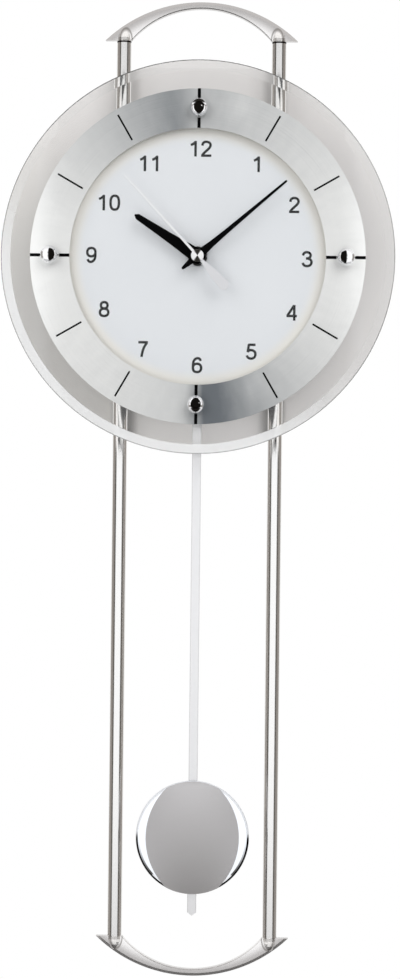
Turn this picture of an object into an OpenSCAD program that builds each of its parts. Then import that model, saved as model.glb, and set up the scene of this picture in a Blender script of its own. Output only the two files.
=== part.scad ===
// Wall clock with a glass disc, a brushed ring, two tubes joined by bows, and a pendulum.
// Every piece is drawn as seen from the front: x to the right, y up, z out of the wall,
// with the middle of the dial at x = 0, y = 0 and the wall at z = 0, and hung() then
// stands it up, +Z up and the front towards -Y, with the origin at the keyhole on the wall.

/* [Glass and dial] */
// Diameter of the glass disc
glass_d = 240; // [236:1:250]
// Thickness of the glass
glass_t = 4; // [3:0.5:5]
// Width of the polished bevel along the rim of the glass
bevel_w = 6; // [3:0.5:8]
// Outer diameter of the brushed ring
ring_outer_d = 204; // [202:1:206]
// Inner diameter of the brushed ring
ring_inner_d = 156; // [152:1:160]
// Thickness of the brushed ring
ring_t = 0.8; // [0.6:0.1:1.5]
// Radius of the circle that the four domed studs stand on
stud_circle_r = 90; // [89:0.5:91]
// Diameter of a domed stud nut
dome_d = 11.4; // [10:0.2:12]

/* [Hands] */
// Length of the hour hand from the middle of the dial
hour_len = 45.7; // [40:0.1:50]
// Length of the minute hand
minute_len = 70.8; // [60:0.1:74]
// Length of the second hand's needle
second_len = 66.6; // [60:0.1:74]
// Where the hour hand points, in degrees clockwise from 12
hour_angle = 302.8; // [0:0.1:360]
// Where the minute hand points
minute_angle = 49.4; // [0:0.1:360]
// Where the second hand points
second_angle = 317.3; // [0:0.1:360]

/* [Frame] */
// Diameter of the two tubes
tube_d = 9; // [8:0.1:9]
// Distance between the axes of the tubes
tube_pitch = 96.8; // [95:0.2:98]
// Height of the top joint line over the middle of the dial
tube_top_y = 138.4; // [136:0.2:142]
// Depth of the bottom joint line under the middle of the dial
tube_foot_y = 421; // [415:1:430]
// Half the width of a bow at its joint line
bow_half_w = 60; // [58:0.2:61]
// Rise of a bow's outer arc over its joint line
bow_rise = 24.1; // [22:0.1:28]
// Half the width of the arch inside a bow
arch_half_w = 43.7; // [43:0.1:43.8]
// Rise of the arch inside a bow
arch_rise = 20; // [18:0.1:20.5]
// Thickness of a bow
bow_t = 5; // [5:0.5:7]

/* [Pendulum] */
// Depth of the middle of the bob under the middle of the dial
bob_y = 357; // [350:1:362]
// Diameter of the bob
bob_d = 70; // [66:1:74]
// Width of the satin plate on the bob's front
bob_plate_w = 57.7; // [54:0.1:60]
// Width of the pendulum rod
rod_w = 5.5; // [5:0.1:6]
// Depth of the rod's pointed end under the middle of the dial
rod_tip_y = 405.8; // [402:0.2:410]

/* [Housing and hanger] */
// Outer diameter of the rear housing
housing_d = 196; // [195:1:198]
// Depth of the rear housing
housing_depth = 50; // [50:1:54]
// Height of the keyhole over the middle of the dial
keyhole_y = 76; // [75:0.5:77]
// Diameter of the keyhole's round part
keyhole_d = 8.4; // [8:0.2:9]
// Width of the keyhole's slot
keyhole_slot_w = 4.2; // [4:0.1:4.6]

/* [Gear train] */
// Gear module, the pitch diameter for each tooth
gear_module = 0.4; // [0.38:0.01:0.4]
// Teeth on the minute hand's wheel
minute_teeth = 64; // [60:2:64]
// Teeth on the second hand's wheel
second_teeth = 48; // [44:2:48]
// Teeth on the wheel of the minute train's idler
minute_idler_teeth = 60; // [56:2:60]
// Teeth on the wheel of the second train's idler
second_idler_teeth = 40; // [36:2:40]
// Teeth on the cannon pinion of the minute hand
cannon_teeth = 10; // [10:1:11]
// Teeth on the motion wheel
motion_teeth = 30; // [28:1:32]

/* [Hidden] */
$fn = 96;

// Clearances: eps keeps cuts open, slip is a free fit and run is a running fit of a shaft
eps = 0.5;
slip = 0.02;
run = 0.05;

// Heights over the wall of the pieces on the clock's axis
plate_t = 2;
stud_seat_t = 0.8;
dial_gap = 0.1;
dial_t = stud_seat_t - dial_gap;
stud_washer_t = 0.8;
dial_z = housing_depth;
glass_z = dial_z + stud_seat_t;
glass_front_z = glass_z + glass_t;
ring_z = glass_front_z + stud_washer_t;
ring_front_z = ring_z + ring_t;
dial_r = 84.6;
mark_t = 0.1;
quarter_bar_w = 1.9;
bar_w = 1.05;
bar_inner_r = 81.1;
bar_outer_r = 98.7;
bevel_drop = 0.9;

// The studs that clamp the ring, the glass and the housing
stud_r = 2;
stud_bore_r = stud_r + slip;
sleeve_r = 2.9;
stud_seat_r = 5;
hex_nut_w = 7;
hex_nut_t = 3.2;
dome_r = dome_d / 2;
dome_sink = 4.1;
dome_depth = 3;

// The tubes and bows
tube_r = tube_d / 2;
tube_x = tube_pitch / 2;
tube_z = 12;
tube_bore_r = tube_r - 0.8;
spigot_r = tube_bore_r - 0.05;
spigot_len = 9;
nose_len = 9;
bow_outer_r = (bow_half_w ^ 2 + bow_rise ^ 2) / (2 * bow_rise);
bow_outer_y = tube_top_y + bow_rise - bow_outer_r;
arch_r = (arch_half_w ^ 2 + arch_rise ^ 2) / (2 * arch_rise);
arch_y = tube_top_y + arch_rise - arch_r;
bow_bevel = 1.8;
bow_bevel_drop = 1.1;
bow_crown_r = 130;
arch_bevel = 0.6;
frame_middle_y = (tube_top_y - tube_foot_y) / 2;
grub_r = 1.25;
grub_len = 3.6;
grub_inset = 5;
joint_gap = 0.4;
bumper_len = 14;
bumper_w = 7;
bumper_inset = 14;

// The housing
housing_r = housing_d / 2;
housing_wall = 2;
housing_draft = 1.4;
housing_corner = 3;
cradle_y = 66;
cradle_w = 24;
cradle_h = 10;
saddle_wall = 2;
saddle_screw_x = 8.8;
ring_rib_r = 71.6;
rib_t = 1.6;
rib_depth = 10;
pendulum_slot_w = 19;
pendulum_slot_z = 30;
tube_notch_w = tube_d + 1;

// The hanger plate and its screws
hanger_t = 1.5;
hanger_w = 56;
hanger_h = 22;
hanger_y = keyhole_y + 3;
hanger_post_x = 22;
hanger_post_y = keyhole_y + 2;
hanger_post_r = 4.5;
hanger_screw_r = 1.5;
hanger_head_r = 3;
hanger_screw_len = 12;
keyhole_slot_len = 8;

// The movement's case
case_w = 56;
case_top_y = 56;
case_foot_y = 42;
case_d = 16;
case_wall = 1.5;
cover_t = 1.5;
case_corner = 3;
case_front_z = housing_depth - plate_t;
case_z = case_front_z - case_d;
cover_z = case_z - cover_t;
case_inner_z = case_front_z - case_wall;
bushing_r = 4;
bushing_top_z = glass_front_z + 1.8;
nut_r = 6;
nut_t = 1.6;
boss_r = 2.2;
boss_x = 24.2;
boss_ys = [-38.2, 34];
case_screw_r = 0.85;
case_screw_head_r = 1.7;
bay_floor_y = 37.4;

// What is in the case
battery_r = 7.1;
battery_y = 46;
battery_z = case_inner_z - battery_r;
battery_len = 48;
rod_antenna_r = 4;
rod_antenna_y = 30;
rod_antenna_z = 40;
rod_antenna_len = 42;
board_x = 14.6;
board_w = 11.4;
board_y = -20;
board_h = 44;
board_z = 40;
board_t = 1.2;
button_x = 21.6;
button_ys = [18, 7];
button_r = 1.9;
button_travel = 1;
button_top_z = board_z - button_travel - 0.2;
button_out = 1.2;
drive_coil_y = -35;
drive_coil_r = 5;

// The arbors: the second hand's shaft turns in the minute tube, that one in the hour tube,
// and the hour tube in the case's bushing
second_r = 0.6;
minute_bore_r = second_r + run;
minute_tube_r = 1.4;
hour_bore_r = minute_tube_r + run;
hour_tube_r = 2.3;
bushing_bore_r = hour_tube_r + run;
pivot_r = 0.6;
pivot_bore_r = pivot_r + run;

// Heights of the wheels and of the hands
second_wheel_z = case_z + 1.6;
second_idler_z = case_z + 2.9;
minute_idler_z = case_z + 4.6;
minute_wheel_z = case_z + 6.2;
motion_wheel_z = case_z + 8.5;
hour_wheel_z = case_z + 10;
wheel_t = 0.8;
hour_hand_z = ring_front_z + 1;
minute_hand_z = hour_hand_z + 1.8;
second_hand_z = minute_hand_z + 1.8;
hand_t = 0.6;
hub_r = 4.8;
cap_r = 3.85;
cap_h = 1.5;

// Teeth on the small pinions, and on the hour wheel, which shares the motion wheel's arbor
// distance with the cannon pinion
pinion_teeth = 8;
hour_teeth = cannon_teeth + motion_teeth - pinion_teeth;

// Where the arbors stand: the directions are in degrees from the x axis
minute_idler_dir = 200;
minute_rotor_dir = 250;
second_idler_dir = -20;
second_rotor_dir = -60;
motion_dir = 90;
minute_idler_at = polar(mesh_distance(minute_teeth, pinion_teeth), minute_idler_dir);
minute_rotor_at = minute_idler_at
    + polar(mesh_distance(minute_idler_teeth, pinion_teeth), minute_rotor_dir);
second_idler_at = polar(mesh_distance(second_teeth, pinion_teeth), second_idler_dir);
second_rotor_at = second_idler_at
    + polar(mesh_distance(second_idler_teeth, pinion_teeth), second_rotor_dir);
motion_at = polar(mesh_distance(cannon_teeth, motion_teeth), motion_dir);
rotor_r = 2.3;
rotor_h = 2;

// The stepping motors' stators: height, left and right edge, and the line of the coils
minute_stator_z = minute_idler_z - 2.1;
second_stator_z = second_wheel_z - 0.4;
minute_stator_x = [-26, -10.5];
second_stator_x = [8, 23.5];
stator_t = 1;
stator_leg_w = 3;
motor_coil_y = -28;

// Tooth form: shares of the pitch, height over and under the pitch circle
wheel_share = 0.45;
pinion_share = 0.38;
wheel_rise = 0.34;
pinion_rise = 0.26;
tooth_fall = 0.45;
flank_steps = 3;

// The pendulum
pivot_y = -24;
pivot_pin_r = 1;
rod_t = 1.4;
rod_z = 23.6;
rocker_z = 25.3;
rocker_t = 4.2;
rocker_w = 9;
rocker_foot_y = -47;
rocker_stud_r = 1.4;
magnet_r = 3.5;
magnet_t = 2;
bob_t = 3.6;
bob_plate_t = 1.6;
bob_plate_rim_t = 0.6;
bob_dome = bob_plate_t - bob_plate_rim_t;
bob_dome_r = ((bob_d / 2) ^ 2 + bob_dome ^ 2) / (2 * bob_dome);
dome_steps = 12;
bob_plate_arc_r = 43.5;
rod_shoulder = 2.1;
clip_w = 14;
clip_h = 20;

function dome_height(x) = bob_plate_t - bob_dome_r + sqrt(bob_dome_r ^ 2 - x ^ 2);
function polar(r, a) = [r * cos(a), r * sin(a)];
function spin(p, a) = [p[0] * cos(a) - p[1] * sin(a), p[0] * sin(a) + p[1] * cos(a)];
function pitch_radius(teeth) = teeth * gear_module / 2;
function mesh_distance(a, b) = pitch_radius(a) + pitch_radius(b);

// Point of the curve that a circle of radius g rolls off outside a circle of radius r
function rolled(r, g, t) = [
    (r + g) * cos(t) - g * cos((r + g) / g * t),
    (r + g) * sin(t) - g * sin((r + g) / g * t)
];

// How far the circle has rolled when that curve reaches radius tip
function rolled_to(r, g, tip) =
    g / r * acos(((r + g) ^ 2 + g ^ 2 - tip ^ 2) / (2 * (r + g) * g));

module hung() {
    translate([0, 0, -keyhole_y]) rotate([90, 0, 0]) children();
}

module at(p, z = 0) {
    translate([p[0], p[1], z]) children();
}

module mirrored_x() {
    children();
    mirror([1, 0, 0]) children();
}

module rounded_plate(w, h, r) {
    for (x = [-1, 1], y = [-1, 1]) {
        translate([x * (w / 2 - r), y * (h / 2 - r)]) circle(r);
    }
    square([w - 2 * r, h], center = true);
    square([w, h - 2 * r], center = true);
}

module pipe(outer, inner, h) {
    difference() {
        cylinder(r = outer, h = h);
        translate([0, 0, -eps]) cylinder(r = inner, h = h + 2 * eps);
    }
}

// Frame

module tube() {
    difference() {
        translate([0, tube_top_y - joint_gap, tube_z]) rotate([90, 0, 0])
            pipe(tube_r, tube_bore_r, tube_top_y + tube_foot_y - 2 * joint_gap);
        for (y = [tube_top_y - grub_inset, grub_inset - tube_foot_y]) {
            translate([0, y, 0]) cylinder(r = grub_r + slip, h = tube_z);
        }
    }
}

module tube_left() {
    hung() color("silver") translate([-tube_x, 0, 0]) tube();
}

module tube_right() {
    hung() color("silver") translate([tube_x, 0, 0]) tube();
}

// Disc with a bevel along its front edge, from which the crowned face falls away inwards
module bow_blank(r, bevel, drop) {
    rotate_extrude() intersection() {
        polygon([
            [0, 0], [r - 0.4, 0], [r, 0.4], [r, bow_t - drop], [r - bevel, bow_t], [0, bow_t]
        ]);
        translate([r - bevel, bow_t - bow_crown_r]) circle(bow_crown_r, $fn = 720);
    }
}

// The arch's cutter flares towards the front
module arch_cutter() {
    rotate_extrude() polygon([
        [0, -eps], [arch_r, -eps], [arch_r, bow_t - arch_bevel],
        [arch_r + arch_bevel + eps, bow_t + eps], [0, bow_t + eps]
    ]);
}

// Bullet-shaped socket over a tube's end, with the spigot that enters the tube
module bow_socket() {
    rotate([-90, 0, 0]) {
        rotate_extrude() polygon(concat(
            [[0, 0]],
            [for (k = [0:8]) [tube_r * cos(k * 11.25), nose_len * sin(k * 11.25)]]
        ));
        translate([0, 0, -spigot_len]) cylinder(r = spigot_r, h = spigot_len);
    }
}

module bow() {
    difference() {
        union() {
            difference() {
                translate([0, bow_outer_y, tube_z - bow_t / 2])
                    bow_blank(bow_outer_r, bow_bevel, bow_bevel_drop);
                translate([-bow_outer_r - 1, bow_outer_y - bow_outer_r - 1, 0])
                    cube([2 * bow_outer_r + 2, tube_top_y - bow_outer_y + bow_outer_r + 1, 2 * tube_z]);
                translate([0, arch_y, tube_z - bow_t / 2]) arch_cutter();
            }
            mirrored_x() translate([tube_x, tube_top_y, tube_z]) bow_socket();
        }
        mirrored_x() translate([tube_x, tube_top_y - grub_inset, 0])
            cylinder(r = grub_r + slip, h = tube_z);
    }
}

module top_bow() {
    hung() color("silver") bow();
}

module bottom_bow() {
    hung() color("silver") translate([0, 2 * frame_middle_y, 0]) mirror([0, 1, 0]) bow();
}

module bow_grub_screws() {
    hung() color("dimgray") mirrored_x()
        for (y = [tube_top_y - grub_inset, grub_inset - tube_foot_y]) {
            translate([tube_x, y, tube_z - tube_r]) difference() {
                cylinder(r = grub_r, h = grub_len);
                translate([0, 0, -eps]) cylinder(r = 0.65, h = 1.2 + eps, $fn = 6);
            }
        }
}

// Rubber feet behind the tubes, which keep the clock parallel to the wall
module wall_bumpers() {
    hung() color("black") mirrored_x() difference() {
        translate([tube_x - bumper_w / 2, bumper_inset - tube_foot_y - bumper_len / 2, 0])
            cube([bumper_w, bumper_len, tube_z - 2]);
        translate([tube_x, bumper_inset - tube_foot_y, tube_z]) rotate([90, 0, 0])
            cylinder(r = tube_r + slip, h = bumper_len + 2, center = true);
    }
}

// Housing

module housing_shell() {
    difference() {
        rotate_extrude() polygon([
            [0, 0], [housing_r - housing_draft, 0],
            [housing_r, housing_depth - housing_corner],
            [housing_r - 0.9, housing_depth - 0.9],
            [housing_r - housing_corner, housing_depth], [0, housing_depth]
        ]);
        translate([0, 0, -eps])
            cylinder(r1 = housing_r - housing_draft - housing_wall,
                r2 = housing_r - housing_wall,
                h = housing_depth - plate_t + eps);
    }
}

// Stiffening ribs behind the front plate, all inside the shell
module housing_ribs() {
    translate([0, 0, case_front_z - rib_depth]) {
        pipe(ring_rib_r, ring_rib_r - rib_t, rib_depth + 0.2);
        for (a = [30, 60, 120, 150, 210, 240, 300, 330]) rotate([0, 0, a])
            translate([ring_rib_r - rib_t, -rib_t / 2, 0])
                cube([housing_r - housing_wall / 2 - ring_rib_r, rib_t, rib_depth + 0.2]);
    }
}

module cradle_posts() {
    for (x = [-tube_x, tube_x], y = [-cradle_y, cradle_y])
        translate([x - cradle_w / 2, y - cradle_h / 2, tube_z])
            cube([cradle_w, cradle_h, case_front_z - tube_z + 0.2]);
}

module rear_housing() {
    hung() color("darkgray") difference() {
        union() {
            housing_shell();
            housing_ribs();
            cradle_posts();
            mirrored_x() at([hanger_post_x, hanger_post_y], hanger_t)
                cylinder(r = hanger_post_r, h = case_front_z - hanger_t + 0.2);
        }
        for (a = [0:90:270]) at(polar(stud_circle_r, a), case_front_z - 1)
            cylinder(r = stud_bore_r, h = plate_t + 2);
        translate([0, 0, case_front_z - 1]) cylinder(r = bushing_r + slip, h = plate_t + 2);
        mirrored_x() at([hanger_post_x, hanger_post_y], 0)
            cylinder(r = hanger_screw_r + slip, h = hanger_screw_len + 1);
        mirrored_x() translate([tube_x, housing_r, tube_z]) rotate([90, 0, 0])
            cylinder(r = tube_r + slip, h = 2 * housing_r);
        mirrored_x() translate([tube_x - tube_notch_w / 2, -housing_r, -eps])
            cube([tube_notch_w, 2 * housing_r, tube_z + eps]);
        for (x = [-tube_x, tube_x], y = [-cradle_y, cradle_y], side = [-1, 1])
            at([x + side * saddle_screw_x, y], tube_z - eps)
                cylinder(r = grub_r + slip, h = 15);
        translate([-pendulum_slot_w / 2, -housing_r - eps, -eps])
            cube([pendulum_slot_w, 20, pendulum_slot_z + eps]);
    }
}

// Straps that hold the tubes in the housing's cradles
module tube_saddles() {
    hung() color("dimgray")
        for (x = [-tube_x, tube_x], y = [-cradle_y, cradle_y]) at([x, y], 0)
            difference() {
                union() {
                    translate([0, 4.5, tube_z]) rotate([90, 0, 0])
                        cylinder(r = tube_r + saddle_wall, h = 9);
                    translate([-cradle_w / 2, -4.5, tube_z - 2]) cube([cradle_w, 9, 2]);
                }
                translate([0, 6, tube_z]) rotate([90, 0, 0])
                    cylinder(r = tube_r + slip, h = 12);
                translate([-cradle_w, -6, tube_z]) cube([2 * cradle_w, 12, 12]);
                mirrored_x() at([saddle_screw_x, 0], tube_z - 4)
                    cylinder(r = grub_r + slip, h = 6);
            }
}

module pan_screw(r, length, head_r, head_t) {
    cylinder(r = r, h = length);
    difference() {
        translate([0, 0, -head_t]) cylinder(r1 = head_r - 0.4, r2 = head_r, h = head_t);
        for (a = [0, 90]) rotate([0, 0, a]) translate([-head_r * 0.6, -0.25, -head_t - eps])
            cube([head_r * 1.2, 0.5, head_t / 2 + eps]);
    }
}

module saddle_screws() {
    hung() color("silver")
        for (x = [-tube_x, tube_x], y = [-cradle_y, cradle_y], side = [-1, 1])
            at([x + side * saddle_screw_x, y], tube_z - 2)
                pan_screw(grub_r, 14, 2.3, 1.6);
}

module hanger_plate() {
    hung() color("silver") difference() {
        linear_extrude(hanger_t) difference() {
            translate([0, hanger_y]) rounded_plate(hanger_w, hanger_h, 4);
            translate([0, keyhole_y]) circle(d = keyhole_d);
            translate([-keyhole_slot_w / 2, keyhole_y])
                square([keyhole_slot_w, keyhole_slot_len]);
            translate([0, keyhole_y + keyhole_slot_len]) circle(d = keyhole_slot_w);
        }
        mirrored_x() at([hanger_post_x, hanger_post_y], 0) {
            translate([0, 0, -eps]) cylinder(r = hanger_screw_r + slip, h = 3);
            cylinder(r1 = hanger_head_r + slip, r2 = hanger_screw_r + slip, h = hanger_t);
        }
    }
}

// Countersunk screws, flush with the back of the hanger plate
module hanger_screws() {
    hung() color("silver") mirrored_x() at([hanger_post_x, hanger_post_y], 0)
        difference() {
            union() {
                cylinder(r1 = hanger_head_r, r2 = hanger_screw_r, h = hanger_t);
                cylinder(r = hanger_screw_r, h = hanger_screw_len);
            }
            for (a = [0, 90]) rotate([0, 0, a]) translate([-1.5, -0.25, -eps])
                cube([3, 0.5, 0.8 + eps]);
        }
}

// Glass, dial and ring

module glass_disc() {
    hung() color([0.86, 0.9, 0.88, 0.4]) difference() {
        translate([0, 0, glass_z]) rotate_extrude() polygon([
            [0, 0], [glass_d / 2 - 0.3, 0], [glass_d / 2, 0.3],
            [glass_d / 2, glass_t - bevel_drop], [glass_d / 2 - bevel_w, glass_t], [0, glass_t]
        ]);
        translate([0, 0, glass_z - 1]) cylinder(r = bushing_r + 0.3, h = glass_t + 2);
        for (a = [0:90:270]) at(polar(stud_circle_r, a), glass_z - 1)
            cylinder(r = sleeve_r + slip, h = glass_t + 2);
    }
}

module dial_disc() {
    hung() color("white") translate([0, 0, dial_z]) pipe(dial_r, bushing_r + 0.3, dial_t);
}

module chapter_ring() {
    hung() color("lightgray") difference() {
        translate([0, 0, ring_z]) pipe(ring_outer_d / 2, ring_inner_d / 2, ring_t);
        for (a = [0:90:270]) at(polar(stud_circle_r, a), ring_z - 1)
            cylinder(r = stud_bore_r, h = ring_t + 2);
    }
}

// Twelve applied bars: the four at the studs cross the whole ring and leave room for a stud
module hour_marks() {
    hung() color("black") translate([0, 0, ring_front_z]) linear_extrude(mark_t)
        for (hour = [0:11]) rotate(30 * hour) {
            quarter = hour % 3 == 0;
            inner = quarter ? ring_inner_d / 2 : bar_inner_r;
            outer = quarter ? ring_outer_d / 2 : bar_outer_r;
            width = quarter ? quarter_bar_w : bar_w;
            difference() {
                translate([inner, -width / 2]) square([outer - inner, width]);
                translate([stud_circle_r, 0]) circle(quarter ? dome_r + 0.05 : 0.01);
            }
        }
}

module at_studs() {
    for (a = [0:90:270]) at(polar(stud_circle_r, a), 0) children();
}

module stud_rods() {
    hung() color("silver") at_studs()
        translate([0, 0, case_front_z - hex_nut_t - 1])
            cylinder(r = stud_r, h = ring_front_z + dome_depth - case_front_z + hex_nut_t + 0.5);
}

// Ball-shaped cap nuts, cut flat where they meet the ring
module dome_nuts() {
    hung() color("white") at_studs() translate([0, 0, ring_front_z]) difference() {
        intersection() {
            translate([0, 0, dome_sink]) sphere(r = dome_r);
            cylinder(r = dome_r + 1, h = dome_d + 1);
        }
        translate([0, 0, -eps]) cylinder(r = stud_bore_r, h = dome_depth + eps);
    }
}

module stud_washers() {
    hung() color("gainsboro") at_studs() translate([0, 0, glass_front_z])
        pipe(stud_seat_r, stud_bore_r, stud_washer_t);
}

// Flanged sleeves keep the studs off the glass
module stud_sleeves() {
    hung() color("gainsboro") at_studs() {
        translate([0, 0, dial_z]) pipe(stud_seat_r, stud_bore_r, stud_seat_t);
        translate([0, 0, glass_z - 0.1]) pipe(sleeve_r, stud_bore_r, glass_t + 0.1);
    }
}

module stud_hex_nuts() {
    hung() color("silver") at_studs() translate([0, 0, case_front_z - hex_nut_t])
        difference() {
            cylinder(d = hex_nut_w / cos(30), h = hex_nut_t, $fn = 6);
            translate([0, 0, -eps]) cylinder(r = stud_bore_r, h = hex_nut_t + 2 * eps);
        }
}

// Movement

module case_outline() {
    translate([0, (case_top_y - case_foot_y) / 2])
        rounded_plate(case_w, case_top_y + case_foot_y, case_corner);
}

module case_cavity() {
    translate([0, (case_top_y - case_foot_y) / 2])
        rounded_plate(case_w - 2 * case_wall, case_top_y + case_foot_y - 2 * case_wall,
            case_corner - case_wall);
}

module case_bosses() {
    for (x = [-boss_x, boss_x], y = boss_ys) at([x, y], case_z)
        cylinder(r = boss_r, h = case_inner_z - case_z + 0.2);
}

// Ribs under the ferrite rod, with half-round seats
module antenna_seats() {
    for (x = [-17, 17]) difference() {
        translate([x - 1, rod_antenna_y - 5, rod_antenna_z])
            cube([2, 10, case_inner_z - rod_antenna_z + 0.2]);
        translate([x - 2, rod_antenna_y, rod_antenna_z]) rotate([0, 90, 0])
            cylinder(r = rod_antenna_r + slip, h = 4);
    }
}

module movement_case() {
    hung() color("dimgray") difference() {
        union() {
            difference() {
                translate([0, 0, case_z]) linear_extrude(case_d) case_outline();
                translate([0, 0, case_z - eps])
                    linear_extrude(case_d - case_wall + eps) case_cavity();
            }
            case_bosses();
            antenna_seats();
            translate([-case_w / 2 + 1, bay_floor_y - 1, case_z + 0.2])
                cube([case_w - 2, 1, case_d - 1]);
            for (y = [board_y + 2.5, board_y + board_h - 2.5])
                at([board_x + board_w / 2, y], board_z + board_t)
                    cylinder(r = 1.5, h = case_inner_z - board_z - board_t + 0.2);
            translate([0, 0, case_front_z - 3.6])
                cylinder(r = bushing_r, h = bushing_top_z - case_front_z + 3.6);
            at(motion_at, hour_wheel_z + 1.8)
                cylinder(r = 1, h = case_inner_z - hour_wheel_z - 1.6);
            at(motion_at, motion_wheel_z - 0.4)
                cylinder(r = pivot_r, h = case_inner_z - motion_wheel_z + 0.5);
        }
        translate([0, 0, case_front_z - 4])
            cylinder(r = bushing_bore_r, h = bushing_top_z - case_front_z + 5);
        for (x = [-boss_x, boss_x], y = boss_ys) at([x, y], case_z - eps)
            cylinder(r = case_screw_r + slip, h = 8);
    }
}

// Fixed pivot for a gear, on a shoulder that stands on the cover
module gear_pivot(p, gear_z, top_z) {
    at(p, case_z - 0.2) {
        cylinder(r = 1.1, h = gear_z - case_z + 0.1);
        cylinder(r = pivot_r, h = top_z - case_z + 0.2);
    }
}

// Pegs on the cover under the legs of a stator
module stator_pegs(side_x, z) {
    for (x = [side_x[0] + stator_leg_w / 2, side_x[1] - stator_leg_w / 2])
        at([x, motor_coil_y + 4.5], case_z - 0.2) cylinder(r = 1.2, h = z - case_z + 0.2);
}

module movement_cover() {
    hung() color("dimgray") difference() {
        union() {
            stator_pegs(minute_stator_x, minute_stator_z);
            stator_pegs(second_stator_x, second_stator_z);
            translate([0, 0, cover_z]) linear_extrude(cover_t) case_outline();
            translate([0, 0, cover_z]) cylinder(r = 2, h = second_wheel_z - cover_z - 0.4);
            gear_pivot(minute_idler_at, minute_idler_z, minute_wheel_z + 1.2);
            gear_pivot(minute_rotor_at, minute_idler_z - 2.4, minute_idler_z + 1.3);
            gear_pivot(second_idler_at, second_wheel_z - 0.2, second_idler_z + 1.1);
            gear_pivot(second_rotor_at, second_wheel_z - 0.9, second_idler_z + 1.3);
        }
        translate([0, 0, case_z]) cylinder(r = pivot_bore_r, h = 3);
        translate([-24.5, bay_floor_y + 1, cover_z - eps])
            cube([49, battery_y + 7 - bay_floor_y, cover_t + 2 * eps]);
        for (y = button_ys) at([button_x, y], cover_z - eps)
            cylinder(r = button_r + run, h = cover_t + 2 * eps);
        for (x = [-boss_x, boss_x], y = boss_ys) at([x, y], cover_z - eps)
            cylinder(r = case_screw_r + slip, h = cover_t + 2 * eps);
        at([0, pivot_y], cover_z - eps) cylinder(r = pivot_pin_r + slip, h = cover_t + 2 * eps);
    }
}

module movement_screws() {
    hung() color("silver")
        for (x = [-boss_x, boss_x], y = boss_ys) at([x, y], cover_z)
            pan_screw(case_screw_r, 7.5, case_screw_head_r, 1);
}

// Low round nut that clamps the glass and dial to the housing
module centre_nut() {
    hung() color("whitesmoke") translate([0, 0, glass_front_z]) difference() {
        cylinder(r = nut_r, h = nut_t);
        translate([0, 0, -eps]) cylinder(r = bushing_r + slip, h = nut_t + 2 * eps);
        for (a = [0:60:300]) rotate([0, 0, a]) translate([nut_r, 0, -eps])
            cylinder(r = 0.6, h = nut_t + 2 * eps);
    }
}

module circuit_board() {
    hung() color("darkgreen") difference() {
        translate([board_x, board_y, board_z]) cube([board_w, board_h, board_t]);
        translate([board_x + 1.5, board_y + 30, board_z - eps]) cylinder(r = 0.8, h = 3);
    }
}

module quartz_crystal() {
    hung() color("silver") translate([board_x + 3, board_y + 4, board_z + board_t + 1.5])
        rotate([-90, 0, 0]) {
            cylinder(r = 1.5, h = 7.2);
            translate([0, 0, -0.5]) cylinder(r = 1.3, h = 0.6);
        }
}

module receiver_chip() {
    hung() color("black") translate([board_x + 3, board_y + 17, board_z + board_t]) {
        cube([5, 6, 1.4]);
        for (k = [0:4], x = [-0.6, 5]) translate([x, 0.5 + k * 1.15, 0])
            cube([0.6, 0.4, 0.6]);
    }
}

module ferrite_rod() {
    hung() color("dimgray") translate([-rod_antenna_len / 2, rod_antenna_y, rod_antenna_z])
        rotate([0, 90, 0]) cylinder(r = rod_antenna_r, h = rod_antenna_len);
}

// Winding between two flanges on the ferrite rod
module antenna_coil() {
    hung() color("peru") translate([-11, rod_antenna_y, rod_antenna_z]) rotate([0, 90, 0])
        difference() {
            rotate_extrude() polygon([
                [0, 0], [5.6, 0], [5.6, 1], [5, 1], [5, 21], [5.6, 21], [5.6, 22], [0, 22]
            ]);
            translate([0, 0, -eps]) cylinder(r = rod_antenna_r + slip, h = 22 + 2 * eps);
        }
}

// U-shaped lamination of a stepping motor, with the rotor's hole in its bar and two legs
// down to the coil's core
module stator(p, z, side_x) {
    foot_y = motor_coil_y - 1.5;
    bar_half = 3.6;
    difference() {
        translate([0, 0, z]) linear_extrude(stator_t) {
            translate([side_x[0], p[1] - bar_half])
                square([side_x[1] - side_x[0], 2 * bar_half]);
            for (x = [side_x[0], side_x[1] - stator_leg_w]) translate([x, foot_y])
                square([stator_leg_w, p[1] - foot_y]);
        }
        at(p, z - 1) {
            cylinder(r = rotor_r + 0.4, h = 3);
            for (a = [45, 225]) rotate([0, 0, a]) translate([rotor_r + 0.4, 0, 0])
                cylinder(r = 0.35, h = 3);
        }
    }
}

// Coil across the legs of a stator: core bar, flanges and winding
module motor_coil(side_x, z) {
    length = side_x[1] - side_x[0] - 2 * stator_leg_w - 0.4;
    translate([side_x[0], motor_coil_y - 1.5, z]) cube([side_x[1] - side_x[0], 3, stator_t]);
    translate([side_x[0] + stator_leg_w + 0.2, motor_coil_y, z + 0.5]) rotate([0, 90, 0]) {
        cylinder(r = 2.7, h = 0.8);
        cylinder(r = 2.3, h = length);
        translate([0, 0, length - 0.8]) cylinder(r = 2.7, h = 0.8);
    }
}

module stator_minute() {
    hung() color("gray") stator(minute_rotor_at, minute_stator_z, minute_stator_x);
}

module stator_second() {
    hung() color("gray") stator(second_rotor_at, second_stator_z, second_stator_x);
}

module coil_minute() {
    hung() color("peru") motor_coil(minute_stator_x, minute_stator_z + stator_t);
}

module coil_second() {
    hung() color("peru") motor_coil(second_stator_x, second_stator_z + stator_t);
}

module battery() {
    hung() color("gold") translate([-battery_len / 2, battery_y, battery_z])
        rotate([0, 90, 0]) {
            rotate_extrude() polygon([
                [0, 0], [4.5, 0], [5, 0.4], [battery_r - 0.3, 0.4], [battery_r, 0.7],
                [battery_r, battery_len - 0.8], [battery_r - 0.8, battery_len],
                [2.7, battery_len], [2.7, battery_len + 1.4], [0, battery_len + 1.4]
            ]);
        }
}

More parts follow.
